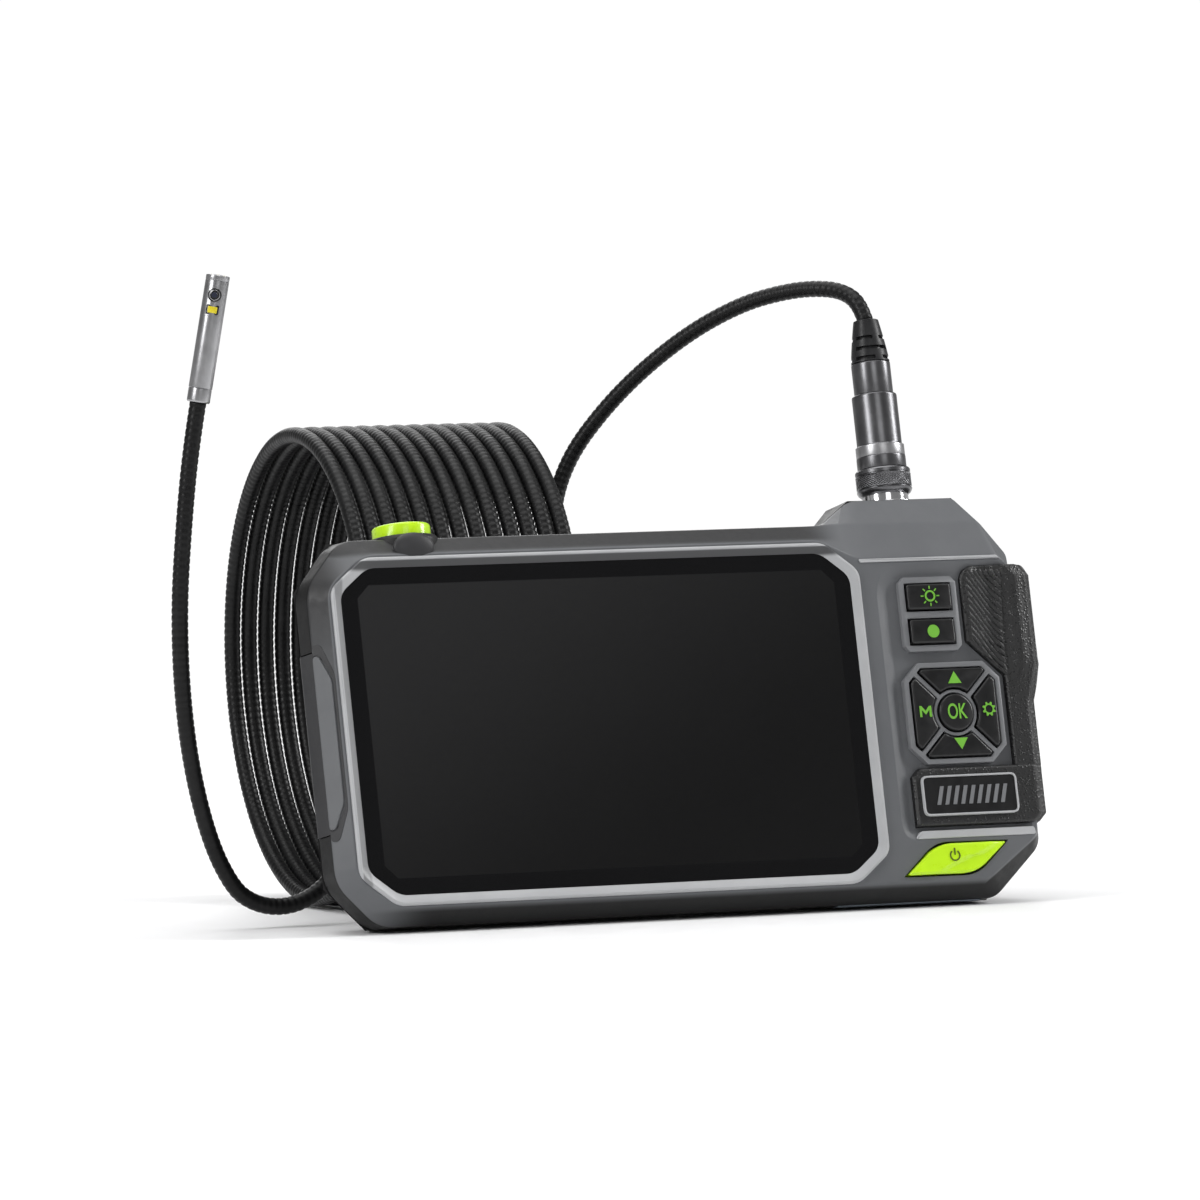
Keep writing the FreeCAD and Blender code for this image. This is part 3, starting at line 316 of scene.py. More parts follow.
def cable_material():
    """The cable's black jacket, with faint streaks."""
    n = Nodes("cable_black")
    streak = n.noise(700, 3)
    n.colour(n.mottled(160, 4, (0.003, 0.003, 0.0032), (0.0065, 0.0065, 0.0068)))
    n.polish(streak, 0.38, 0.54)
    n.bump(streak, 0.01)
    n.set(IOR=1.5, Coat_Weight=0.12, Coat_Roughness=0.3, Specular_IOR_Level=0.18)
    return n


def floor_material():
    n = Nodes("studio_floor")
    n.colour(n.mottled(6, 3, (0.86, 0.86, 0.865), (0.9, 0.9, 0.905)))
    n.polish(n.noise(120, 3), 0.55, 0.7)
    n.set(IOR=1.3)
    return n


FINISHES = {
    "floor": floor_material(),
    "grey": casing_material(),
    "cover": moulded("cover_grey", (0.12, 0.124, 0.13), 0.42, 2600, 0.012, 0.05),
    "dark": moulded("casing_dark", (0.012, 0.012, 0.0125), 0.46, 1900, 0.03, 0.15),
    "seal": moulded("seal_rubber", (0.008, 0.008, 0.008), 0.6, 1500, 0.02),
    "lip": moulded("light_lip", (0.42, 0.425, 0.435), 0.34, 2600, 0.008, 0.04),
    "bezel": bezel_material(),
    "charcoal": moulded("charcoal", (0.034, 0.034, 0.036), 0.42, 2600, 0.012, 0.06),
    "frame": moulded("key_frame", (0.17, 0.174, 0.182), 0.4, 2600, 0.008, 0.05),
    "glass": glass_material(),
    "key": moulded("key_black", (0.006, 0.006, 0.0065), 0.34, 2600, 0.01, 0.2, 0.3, 0.25),
    "icon": moulded("icon_green", (0.15, 0.42, 0.04), 0.5, 2600, 0.004, 0.06),
    "mark": moulded("icon_dark", (0.07, 0.1, 0.01), 0.5, 2600, 0.004, 0.06),
    "lime": moulded("lime", (0.53, 0.86, 0.012), 0.3, 2200, 0.006, 0.04, 0.5, 0.12),
    "grip": rubber_material(),
    "boot": moulded("boot_rubber", (0.014, 0.014, 0.015), 0.4, 1500, 0.02, 0.15),
    "cable": cable_material(),
    "gun": metal("gunmetal", (0.15, 0.15, 0.156), 0.31),
    "satin": metal("satin_band", (0.42, 0.42, 0.43), 0.34),
    "chrome": metal("socket_chrome", (0.8, 0.8, 0.81), 0.14),
    "steel": metal("head_steel", (0.4, 0.4, 0.41), 0.32),
    "screw": metal("screw_steel", (0.3, 0.3, 0.31), 0.3),
    "window": moulded("window_black", (0.006, 0.006, 0.007), 0.14, 1500, 0.002, 0.1, 0.6, 0.05),
    "lens": moulded("lens_glass", (0.01, 0.014, 0.035), 0.06, 1500, 0.001, 0.1, 1.0, 0.02),
    "led": moulded("led_yellow", (0.72, 0.6, 0.02), 0.35, 1500, 0.01, 0.1, 0.4, 0.1),
    "strip": moulded("trim_strip", (0.19, 0.225, 0.26), 0.38, 2600, 0.008, 0.05),
    "board": moulded("circuit_board", (0.01, 0.1, 0.04), 0.4, 3000, 0.01, 0.3),
    "inner": moulded("inner_frame", (0.05, 0.05, 0.055), 0.5, 2000, 0.02),
    "cell": moulded("cell_wrap", (0.02, 0.08, 0.28), 0.3, 900, 0.01),
    "brass": metal("contact_metal", (0.6, 0.44, 0.2), 0.28),
}
M = {key: nodes.material for key, nodes in FINISHES.items()}


# ---------------------------------------------------------------- mesh building
def rounded(outline, reach, steps=CORNER_STEPS):
    """An outline with each corner turned into a soft curve; reach is one length or one per corner."""
    count = len(outline)
    reaches = reach if isinstance(reach, (list, tuple)) else [reach] * count
    points = []
    for i, (x, z) in enumerate(outline):
        here = Vector((x, z))
        before = Vector(outline[i - 1])
        after = Vector(outline[(i + 1) % count])
        into = min(reaches[i], (before - here).length * 0.45)
        out = min(reaches[i], (after - here).length * 0.45)
        start = here + (before - here).normalized() * into
        end = here + (after - here).normalized() * out
        for k in range(steps + 1):
            t = k / steps
            points.append(start * (1 - t) ** 2 + here * 2 * t * (1 - t) + end * t * t)
    return points


def moved_in(outline, step):
    """An outline moved inwards by step all the way round."""
    count = len(outline)
    points = [Vector(p) for p in outline]
    area = sum(points[i - 1].cross(points[i]) for i in range(count))
    side = 1 if area > 0 else -1
    moved = []
    for i, here in enumerate(points):
        before = (here - points[i - 1]).normalized()
        after = (points[(i + 1) % count] - here).normalized()
        first = Vector((-before.y, before.x)) * side
        second = Vector((-after.y, after.x)) * side
        moved.append(here + (first + second) * (step / (1 + max(-0.5, first.dot(second)))))
    return moved


def cut_rectangle(left, low, right, high, cut_x, cut_z):
    return [
        (left, low + cut_z), (left, high - cut_z), (left + cut_x, high), (right - cut_x, high),
        (right, high - cut_z), (right, low + cut_z), (right - cut_x, low), (left + cut_x, low),
    ]


def box_outline(left, low, right, high):
    return [(left, low), (left, high), (right, high), (right, low)]


def full_turn(count):
    """Equal angles round a full turn."""
    return [2 * math.pi * k / count for k in range(count)]


def circle(x, z, radius, count):
    return [Vector((x + radius * math.sin(a), z + radius * math.cos(a))) for a in full_turn(count)]


def at_depth(outline, depth):
    return [Vector((p[0], depth, p[1])) for p in outline]


def ring_at(depth, outline, reach, step=0.0):
    """An outline moved in by a step, with its corners rounded, standing at a depth."""
    return at_depth(rounded(moved_in(outline, step), reach), depth)


def softened(rings, radii):
    """The rings of a loft, with every ring but the first and last rounded off."""
    made = [rings[0]]
    for before, here, after, radius in zip(rings, rings[1:], rings[2:], radii):
        for k in range(EDGE_STEPS + 1):
            t = k / EDGE_STEPS
            ring = []
            for a, b, c in zip(before, here, after):
                start = b + (a - b).normalized() * min(radius, (a - b).length * 0.48)
                end = b + (c - b).normalized() * min(radius, (c - b).length * 0.48)
                ring.append(start * (1 - t) ** 2 + b * 2 * t * (1 - t) + end * t * t)
            made.append(ring)
    made.append(rings[-1])
    return made


class Build:
    """A mesh put together from rings of points."""

    def __init__(self):
        self.bm = bmesh.new()

    def ring(self, points):
        return [self.bm.verts.new(p) for p in points]

    def bridge(self, a, b):
        for i in range(len(a)):
            j = (i + 1) % len(a)
            self.bm.faces.new((a[i], a[j], b[j], b[i]))

    def loft(self, rings, caps=(True, True), closed=False):
        """Skin over the rings; caps close the first and last ring, closed joins them to each other."""
        made = [self.ring(points) for points in rings]
        for a, b in zip(made, made[1:]):
            self.bridge(a, b)
        if closed:
            self.bridge(made[-1], made[0])
        if caps[0]:
            self.bm.faces.new(made[0])
        if caps[1]:
            self.bm.faces.new(made[-1])
        return made

    def fill(self, loops):
        """A flat face inside the first loop, round the other loops."""
        edges = []
        for loop in loops:
            for i, vert in enumerate(loop):
                other = loop[(i + 1) % len(loop)]
                edges.append(self.bm.edges.get((vert, other)) or self.bm.edges.new((vert, other)))
        bmesh.ops.triangle_fill(self.bm, edges=edges, use_beauty=True)

    def done(self, name, place, finish):
        """The mesh as an object, turned from its own frame into the world."""
        bmesh.ops.remove_doubles(self.bm, verts=self.bm.verts, dist=1e-5)
        bmesh.ops.recalc_face_normals(self.bm, faces=self.bm.faces)
        mesh = bpy.data.meshes.new(name)
        self.bm.to_mesh(mesh)
        self.bm.free()
        mesh.transform(place)
        mesh.materials.append(M[finish])
        piece = placed(name, mesh)
        smooth(piece)
        return piece


def smooth(piece, angle=32):
    piece.data.shade_smooth()
    piece.data.set_sharp_from_angle(angle=math.radians(angle))


def own(piece, body, slot, *nodes):
    """Ties a piece to its CAD body and hides the CAD nodes that it stands for; the slot is not used."""
    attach(piece, body)
    if nodes:
        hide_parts(*nodes)
    return piece


def fitted(made, name, finish, slot, *nodes, body="handset"):
    """A Build in the handset's frame as a finished piece."""
    return own(made.done(name, HANDSET, finish), body, slot, *nodes)


def evaluated(piece):
    """The piece's mesh as its modifiers leave it."""
    bpy.context.view_layer.update()
    return bpy.data.meshes.new_from_object(piece.evaluated_get(bpy.context.evaluated_depsgraph_get()))


def baked(piece):
    """The piece with its modifiers applied."""
    mesh = evaluated(piece)
    piece.modifiers.clear()
    piece.data = mesh
    return piece


def carved(piece, *cutters):
    """The piece with the cutters' shapes taken out of it; the cutters are removed."""
    for cutter in cutters:
        change = piece.modifiers.new("carve", "BOOLEAN")
        change.operation = "DIFFERENCE"
        change.solver = "EXACT"
        change.object = cutter
    baked(piece)
    for cutter in cutters:
        bpy.data.objects.remove(cutter)
    return piece


def prism(outline, front, back, edge):
    """A Build of an upright slab between two depths, with rounded front and back edges."""
    made = Build()
    inner = moved_in(outline, edge * 1.6)
    made.loft(softened([at_depth(inner, front), at_depth(outline, front), at_depth(outline, back),
                        at_depth(inner, back)], (edge, edge)))
    return made


def turned(name, place, finish, slot, profile, *nodes, body="handset", edge=0.0, steps=96, shape=None):
    """A turned part from a closed profile of (radius, height) points.

    edge rounds the profile's corners, and shape may move each point.
    """
    made = Build()
    rings = []
    for radius, height in rounded(profile, edge, PROFILE_STEPS) if edge else profile:
        ring = []
        for angle in full_turn(steps):
            size = shape(radius, height, angle) if shape else radius
            ring.append(Vector((size * math.cos(angle), size * math.sin(angle), height)))
        rings.append(ring)
    made.loft(rings, (False, False), closed=True)
    return own(made.done(name, place, finish), body, slot, *nodes)


MARK_THICK = 0.08


def flat_mark(name, loops, front, body, finish="icon"):
    """A thin printed mark on the plane Y = front, from closed loops of points; inner loops are holes."""
    curve = bpy.data.curves.new(name, "CURVE")
    curve.dimensions = "2D"
    curve.fill_mode = "BOTH"
    curve.extrude = MARK_THICK / 2
    for loop in loops:
        spline = curve.splines.new("POLY")
        spline.points.add(len(loop) - 1)
        for point, (x, z) in zip(spline.points, loop):
            point.co = (x, z, 0, 1)
        spline.use_cyclic_u = True
    return mark_piece(name, curve, front, body, finish)


def mark_piece(name, curve, front, body, finish="icon"):
    """A flat curve or text as a mesh that stands on the plane Y = front."""
    source = placed(name + "_curve", curve)
    mesh = evaluated(source)
    bpy.data.objects.remove(source)
    stand = Matrix.Translation((0, front - MARK_THICK / 2, 0)) @ Matrix.Rotation(math.pi / 2, 4, "X")
    mesh.transform(HANDSET @ stand)
    mesh.materials.clear()
    mesh.materials.append(M[finish])
    piece = placed(name, mesh)
    smooth(piece)
    return own(piece, body, "key_black")


# ---------------------------------------------------------------- cable
CABLE_RADIUS = 1.8
COIL_RADIUS = 50.4
COIL_PITCH = 4.17
COIL_GAPS = 12
COIL_YAW = math.radians(4)
COIL_FIRST = Vector((-57.5, 64.7, 52.2))
COIL_FROM, COIL_TO = -110.0, 187.0 + 360 * COIL_GAPS
COIL_STEP = 22.5
RING_PITCH = 1.5
RIB = (0.93, 1.0, 1.0, 1.0)
AROUND = 14
LEAD = (
    (0.0586, 0.0171, 0.1248), (0.0582, 0.0189, 0.1284), (0.0568, 0.0225, 0.1311), (0.0539, 0.0276, 0.1323),
    (0.0483, 0.0344, 0.1319), (0.04, 0.0426, 0.129), (0.0298, 0.0527, 0.1215), (0.0178, 0.0617, 0.109),
    (0.0078, 0.0682, 0.0935), (0.0029, 0.0636, 0.0765), (0.0005, 0.0525, 0.061), (-0.0011, 0.0399, 0.047),
    (-0.0026, 0.0292, 0.032), (-0.005, 0.0262, 0.018), (-0.0068, 0.0337, 0.0076), (-0.0078, 0.0452, 0.0024),
)
TAIL = (
    (-0.1035, 0.0037, 0.1111), (-0.1052, 0.0041, 0.1015), (-0.1068, 0.0047, 0.0865), (-0.108, 0.0057, 0.068),
    (-0.1069, 0.0077, 0.0495), (-0.104, 0.0101, 0.033), (-0.0994, 0.0121, 0.018), (-0.0942, 0.0133, 0.0086),
    (-0.0899, 0.0137, 0.0052), (-0.0846, 0.0137, 0.0037), (-0.0791, 0.0136, 0.0043), (-0.074, 0.0134, 0.0069),
    (-0.0702, 0.0131, 0.0111), (-0.0664, 0.0132, 0.0205), (-0.0634, 0.0134, 0.033), (-0.0615, 0.014, 0.0465),
)


def coil_points():
    """The coil's turns, from its right-hand end, where the lead joins it, to its left-hand end."""
    axis = Vector((math.cos(COIL_YAW), -math.sin(COIL_YAW), 0))
    across = Vector((math.sin(COIL_YAW), math.cos(COIL_YAW), 0))
    reach = COIL_RADIUS / math.cos(math.radians(COIL_STEP / 2))
    points = []
    for k in range(1, int((COIL_TO - COIL_FROM) / COIL_STEP)):
        degrees = COIL_FROM + COIL_STEP * k
        share = (degrees - COIL_FROM) / (COIL_TO - COIL_FROM)
        angle = math.radians(degrees)
        middle = COIL_FIRST + axis * (COIL_PITCH * COIL_GAPS * (1 - share))
        out = across * math.cos(angle) + Vector((0, 0, 1)) * math.sin(angle)
        points.append((middle + out * reach) * MM)
    return points


def cable_route():
    """The cable's centreline: one smooth spline through lead, coil and tail, read as close points."""
    points = [Vector(p) for p in LEAD] + coil_points() + [Vector(p) for p in reversed(TAIL)]
    curve = bpy.data.curves.new("cable_line", "CURVE")
    curve.dimensions = "3D"
    spline = curve.splines.new("NURBS")
    spline.points.add(len(points) - 1)
    for point, at in zip(spline.points, points):
        point.co = (*at, 1)
    spline.order_u = 3
    spline.use_endpoint_u = True
    spline.resolution_u = 10
    source = placed("cable_line", curve)
    line = evaluated(source)
    bpy.data.objects.remove(source)
    return [v.co.copy() for v in line.vertices]


def spaced(points, step):
    """Points a step apart along a line."""
    lengths = [0.0]
    for a, b in zip(points, points[1:]):
        lengths.append(lengths[-1] + (b - a).length)
    total = lengths[-1]
    count = round(total / step)
    found = []
    i = 0
    for k in range(count + 1):
        want = total * k / count
        while i < len(lengths) - 2 and lengths[i + 1] < want:
            i += 1
        share = (want - lengths[i]) / max(1e-12, lengths[i + 1] - lengths[i])
        found.append(points[i].lerp(points[i + 1], min(1.0, share)))
    return found


def ringed_tube(line):
    """A tube of short ribs, each a low barrel between two grooves."""
    centres = spaced(line, RING_PITCH * MM / len(RIB))
    made = Build()
    normal = Vector((0, 1, 0))
    rows = []
    last = len(centres) - 1
    for k, centre in enumerate(centres):
        along = (centres[min(last, k + 1)] - centres[max(0, k - 1)]).normalized()
        normal = (normal - along * normal.dot(along)).normalized()
        side = along.cross(normal)
        radius = CABLE_RADIUS * MM * RIB[k % len(RIB)]
        rows.append([centre + (normal * math.cos(a) + side * math.sin(a)) * radius
                     for a in full_turn(AROUND)])
    made.loft(rows)
    return made


def make_cable():
    """The cable as one ribbed tube, with the line that it follows."""
    line = cable_route()
    made = ringed_tube(line)
    bmesh.ops.recalc_face_normals(made.bm, faces=made.bm.faces)
    mesh = bpy.data.meshes.new("cable")
    made.bm.to_mesh(mesh)
    made.bm.free()
    mesh.materials.append(M["cable"])
    mesh.shade_smooth()
    piece = placed("cable", mesh)
    own(piece, "handset", "cable_black", "cable_lead", "cable_coil", "cable_tail")
    return piece, line


cable, cable_line = make_cable()


# ---------------------------------------------------------------- finishes of the CAD nodes
NODE_FINISH = {
    "grey": "front_shell port_cover",
    "dark": "rear_shell shutter_cup base_trim",
    "seal": "shell_gasket chassis",
    "inner": "backlight_unit lcd_panel head_board",
    "screw": "shell_screws",
    "frame": "pad_frame pair_frame label_plate",
    "lip": "screen_bezel",
    "glass": "cover_glass",
    "board": "main_board key_board",
    "key": "board_chips shutter_switch light_key record_key up_key down_key menu_key settings_key ok_key "
           "port_panel",
    "cell": "battery_cell",
    "brass": "battery_contacts dome_switches usb_socket card_slot socket_contacts plug_contacts",
    "lime": "power_key shutter_button",
    "grip": "rubber_grip",
    "chrome": "plug_socket socket_nut",
    "gun": "coupling_ring plug_barrel plug_sleeve",
    "boot": "strain_relief",
    "cable": "cable_lead cable_coil cable_tail",
    "steel": "head_ferrule head_barrel front_cap",
    "window": "side_camera",
    "lens": "side_lens front_lens",
    "led": "side_led front_leds",
}
for finish, names in NODE_FINISH.items():
    for name in names.split():
        node = frame["nodes"][name]
        node.data.materials.clear()
        node.data.materials.append(M[finish])
        smooth(node, 28)


# ---------------------------------------------------------------- CAD parts with softened edges
def refined(node, slot, finish, edge, steps=2, body="handset"):
    """A copy of a CAD node's mesh with its facets merged and its edges rounded."""
    mesh = frame["nodes"][node].data.copy()
    made = bmesh.new()
    made.from_mesh(mesh)
    bmesh.ops.remove_doubles(made, verts=made.verts, dist=2e-6)
    bmesh.ops.dissolve_limit(made, angle_limit=math.radians(1.5), verts=made.verts, edges=made.edges)
    made.to_mesh(mesh)
    made.free()
    mesh.materials.clear()
    mesh.materials.append(M[finish])
    piece = placed(node + "_soft", mesh)
    change = piece.modifiers.new("edges", "BEVEL")
    change.width = edge * MM
    change.segments = steps
    change.limit_method = "ANGLE"
    change.angle_limit = math.radians(30)
    change.miter_outer = "MITER_ARC"
    change.harden_normals = True
    mesh.shade_smooth()
    return own(baked(piece), body, slot, node)


def front_of(node):
    """The depth of a node's front, in the handset's millimetres."""
    return min((TO_HANDSET @ v.co).y for v in frame["nodes"][node].data.vertices)


refined("rear_shell", "dark_casing", "dark", 0.7)
refined("pad_frame", "light_lip", "frame", 0.3)
refined("pair_frame", "light_lip", "frame", 0.3)
refined("base_trim", "trim_plastic", "strip", 0.2)
refined("shutter_cup", "dark_casing", "dark", 0.15)
refined("port_cover", "grey_casing", "charcoal", 0.5, 3, "port_cover")
refined("port_panel", "key_black", "key", 0.15)
for key in ("light_key", "record_key", "up_key", "down_key", "menu_key", "settings_key", "ok_key"):
    refined(key, "key_black", "key", 0.55, 3, key)
refined("shutter_button", "lime_plastic", "lime", 0.7, 3, "shutter_button")


# ---------------------------------------------------------------- key legends
def spokes(x, z, count, inner, outer, half):
    """Short radial bars round a point."""
    bars = []
    for k in range(count):
        angle = 2 * math.pi * k / count
        out = Vector((math.sin(angle), math.cos(angle)))
        side = Vector((out.y, -out.x)) * half
        near, far = Vector((x, z)) + out * inner, Vector((x, z)) + out * outer
        bars.append([near - side, near + side, far + side, far - side])
    return bars


def gear(x, z, teeth, root, tip):
    """A cog's outline, four points to a tooth."""
    points = []
    for k in range(teeth * 4):
        angle = 2 * math.pi * (k + 0.5) / (teeth * 4)
        radius = tip if k % 4 in (1, 2) else root
        points.append(Vector((x + radius * math.sin(angle), z + radius * math.cos(angle))))
    return points


def arc_band(x, z, inner, outer, start, end, steps=28):
    """A band round a point between two angles in degrees."""
    angles = [math.radians(start + (end - start) * k / steps) for k in range(steps + 1)]
    outside = [Vector((x + outer * math.sin(a), z + outer * math.cos(a))) for a in angles]
    inside = [Vector((x + inner * math.sin(a), z + inner * math.cos(a))) for a in reversed(angles)]
    return outside + inside


key_front = front_of("light_key") - MARK_THICK / 2
flat_mark("sun_legend", [circle(77.3, 24.5, 1.25, 32), circle(77.3, 24.5, 0.85, 32)]
          + spokes(77.3, 24.5, 8, 1.55, 2.2, 0.14), key_front, "light_key")
flat_mark("record_legend", [circle(77.2, 16.8, 1.4, 32)], key_front, "record_key")
flat_mark("up_legend", [[(79.3, 5.3), (80.9, 7.9), (82.5, 5.3)]], key_front, "up_key")
flat_mark("down_legend", [[(79.3, -6.6), (80.9, -9.1), (82.5, -6.6)]], key_front, "down_key")
flat_mark("menu_legend", [[
    (71.8, -1.8), (71.8, 0.6), (72.3, 0.6), (73.2, -0.5), (74.1, 0.6), (74.6, 0.6), (74.6, -1.8),
    (74.1, -1.8), (74.1, -0.25), (73.2, -1.3), (72.3, -0.25), (72.3, -1.8),
]], key_front, "menu_key")
flat_mark("settings_legend", [gear(88.4, -0.6, 8, 1.15, 1.6), circle(88.4, -0.6, 0.85, 24)], key_front,
          "settings_key")
words = bpy.data.curves.new("ok_text", "FONT")
words.body = "OK"
words.size = 4.7
words.offset = 0.05
words.extrude = MARK_THICK / 2
words.align_x = "CENTER"
words.align_y = "CENTER"
ok_mark = mark_piece("ok_legend", words, front_of("ok_key") - MARK_THICK / 2, "ok_key")
ok_mark.data.transform(HANDSET @ Matrix.Translation((80.6, 0, -1.0)) @ Matrix.Diagonal((0.66, 1, 1, 1))
                       @ TO_HANDSET)
flat_mark("power_legend", [arc_band(76.4, -32.0, 0.95, 1.25, 35, 325),
                           box_outline(76.25, -31.9, 76.55, -30.4)],
          front_of("power_key") - MARK_THICK / 2 - 0.02, "power_key", "mark")


# ---------------------------------------------------------------- label
LABEL_FRONT = front_of("label_plate") - 0.25
BAR_COUNT, BAR_PITCH, BAR_WIDE, BAR_LEAN = 9, 1.9, 0.9, 1.1
BAR_LEFT, BAR_LOW, BAR_HIGH = 73.4, -21.0, -17.0


def make_label():
    """A glossy black plate in a raised light frame, with a generic row of slanted bars."""
    outer = rounded(box_outline(70.2, -23.4, 93.0, -14.5), 1.6)
    ridge = [moved_in(outer, step) for step in (0.0, 0.12, 0.42, 0.55)]
    depths = (-0.6, LABEL_FRONT, LABEL_FRONT, LABEL_FRONT + 0.3)
    made = Build()
    made.loft([at_depth(line, depth) for line, depth in zip(ridge, depths)], (True, False))
    fitted(made, "label_frame", "lip", "light_lip", "label_plate")
    plate = prism(moved_in(outer, 0.5), LABEL_FRONT + 0.22, -0.5, 0.08)
    fitted(plate, "label_face", "key", "key_black")
    bars = []
    for k in range(BAR_COUNT):
        foot = BAR_LEFT + BAR_PITCH * k
        top = foot + BAR_LEAN
        bars.append([(foot, BAR_LOW), (top, BAR_HIGH), (top + BAR_WIDE, BAR_HIGH),
                     (foot + BAR_WIDE, BAR_LOW)])
    flat_mark("label_bars", bars, LABEL_FRONT + 0.18, "handset", "frame")


make_label()


# ---------------------------------------------------------------- front casing
FACE = [(-61.8, -31), (-61.8, 31), (-53.2, 37.5), (53, 37.5), (61.5, 33.3), (94.8, 33.3), (97.3, 30.8),
        (97.3, -28), (84.3, -37.2), (-53.2, -37.2)]
RIM = [(-65.2, -31.5), (-65.2, 31.5), (-56.6, 41.5), (54, 41.5), (62, 41.7), (93.4, 41.3), (99.2, 33.9),
       (99.4, -30), (87.5, -40.9), (-56.6, -40.9)]
PARTING = [(-66, -31.5), (-66, 31.5), (-57.4, 41.8), (57, 41.8), (65, 47.6), (90, 47.6), (99.8, 35),
           (99.8, -30), (87.5, -40.77), (-57.4, -40.77)]
CORNERS = [3.4, 3.4, 3.4, 2.2, 2.2, 1.0, 1.0, 2.2, 2.2, 3.4]
FIELD = [(65.2, -26.4), (65.2, 27.6), (69.0, 32.1), (96.2, 32.1), (96.2, -28.2), (67.2, -28.2)]
FIELD_FLOOR = [(67.8, -24.6), (67.8, 26.6), (70.6, 29.5), (95.7, 29.5), (95.7, -26.0), (69.2, -26.0)]
FIELD_REACH = 3.0
FIELD_DEPTH = 1.0
POCKET_DEPTH = 3.8
RIM_DEPTH = 4
PARTING_DEPTH = 8.6
POWER = [(64.6, -36.0), (72.6, -29.1), (89.8, -29.1), (81.8, -36.0)]
POWER_REACH = [0.6, 3.2, 0.6, 3.2]
LIP_OUTER = cut_rectangle(-61.4, -37.0, 61.4, 37.0, 8.0, 6.4)
LIP_REACH = 2.0
PAD = cut_rectangle(70.3, -10.9, 90.9, 8.9, 3.0, 3.0)
PAIR = box_outline(71.7, 13.9, 82.8, 27.5)
SHUTTER = (-40.2, 8.6)
WELL_RADIUS = 6.6


def make_front():
    """The front casing as one closed block, with a sunken key field and blind pockets for the keys."""
    made = Build()
    rings = made.loft(softened([
        ring_at(0, FACE, CORNERS, 0.5), ring_at(0, FACE, CORNERS), ring_at(RIM_DEPTH, RIM, CORNERS),
        ring_at(PARTING_DEPTH, PARTING, CORNERS), ring_at(PARTING_DEPTH, PARTING, CORNERS, 0.8),
    ], (0.4, 0.5, 0.3)), (False, True))
    screen = made.loft([ring_at(depth, LIP_OUTER, LIP_REACH, step)
                        for step, depth in ((1.2, 0), (1.5, 0.3), (1.5, 4.6))], (False, True))
    field = made.loft(softened([
        ring_at(0, FIELD, FIELD_REACH, -0.15), ring_at(0, FIELD, FIELD_REACH),
        ring_at(FIELD_DEPTH, FIELD_FLOOR, FIELD_REACH), ring_at(FIELD_DEPTH, FIELD_FLOOR, FIELD_REACH, 0.4),
    ], (0.35, 0.5)), (False, False))
    power = made.loft([ring_at(depth, POWER, POWER_REACH, step)
                       for step, depth in ((-0.32, 0), (-0.25, 0.2), (-0.25, POCKET_DEPTH))], (False, True))
    pad, pair = [made.loft([at_depth(moved_in(outline, 0.3), depth) for depth in (FIELD_DEPTH, POCKET_DEPTH)],
                           (False, True)) for outline in (PAD, PAIR)]
    made.fill([rings[0], screen[0], field[0], power[0]])
    made.fill([field[-1], pad[0], pair[0]])
    return made.done("front_casing", HANDSET, "grey")


def front_cutters():
    """What is cut out of the front casing: the shutter's well and the side cover's bay."""
    well = Build()
    ring = circle(*SHUTTER, WELL_RADIUS, 64)
    well.loft([[Vector((x, y, height)) for x, y in ring] for height in (35.0, 55.0)])
    bay = Build()
    bay.loft([at_depth(box_outline(-70, -21.0, -59.6, 18.0), depth) for depth in (2.4, 13.6)])
    return well.done("well_cutter", HANDSET, "dark"), bay.done("bay_cutter", HANDSET, "dark")


front = carved(make_front(), *front_cutters())
smooth(front, 17)
evened = front.modifiers.new("evened", "WEIGHTED_NORMAL")
evened.keep_sharp = True
evened.weight = 90
own(baked(front), "handset", "grey_casing", "front_shell")


def make_lip():
    """The light lip round the glass: a narrow ridge outside and a slope down to the glass."""
    made = Build()
    steps = ((0.0, 0.35), (0.0, -0.45), (0.25, -0.75), (0.55, -0.8), (0.8, -0.66), (2.15, -0.1), (2.3, 0.1),
             (2.3, 0.35))
    made.loft([ring_at(depth, LIP_OUTER, LIP_REACH, step) for step, depth in steps], (False, False),
              closed=True)
    fitted(made, "screen_lip", "bezel", "light_lip", "screen_bezel")


make_lip()
brow = prism(rounded([(61.7, 33.2), (94.6, 33.2), (95.4, 32.45), (62.0, 32.45)], 0.3), -0.22, 0.5, 0.12)
fitted(brow, "key_field_brow", "lip", "light_lip")
# The sill is a real step at the key field's foot; its light lip colour is a painted highlight for the top
# light on this upward-facing wall.
sill = prism(rounded([(68.0, -28.05), (69.4, -26.3), (96.6, -26.3), (96.9, -28.05)], 0.7), -0.14, 0.95, 0.22)
fitted(sill, "key_field_sill", "lip", "light_lip")


def dome_by_well():
    """The charcoal dome in front of the shutter button, half sunk in the casing's top edge."""
    made = Build()
    middle, radii = Vector((-41.0, 0.9, 39.2)), Vector((4.7, 1.35, 3.1))
    rows = []
    for k in range(13):
        rise = math.pi * (0.02 + 0.96 * k / 12) - math.pi / 2
        rows.append([middle + radii * Vector((math.cos(rise) * math.cos(a), math.cos(rise) * math.sin(a),
                                              math.sin(rise))) for a in full_turn(36)])
    made.loft(rows)
    fitted(made, "shutter_dome", "charcoal", "grey_casing")


dome_by_well()
turned("shutter_collar", HANDSET @ Matrix.Translation((*SHUTTER, 0)), "dark", "dark_casing",
       [(6.65, 39.4), (7.8, 39.4), (7.8, 41.5), (7.2, 42.3), (6.65, 42.3)], edge=0.25, steps=64)


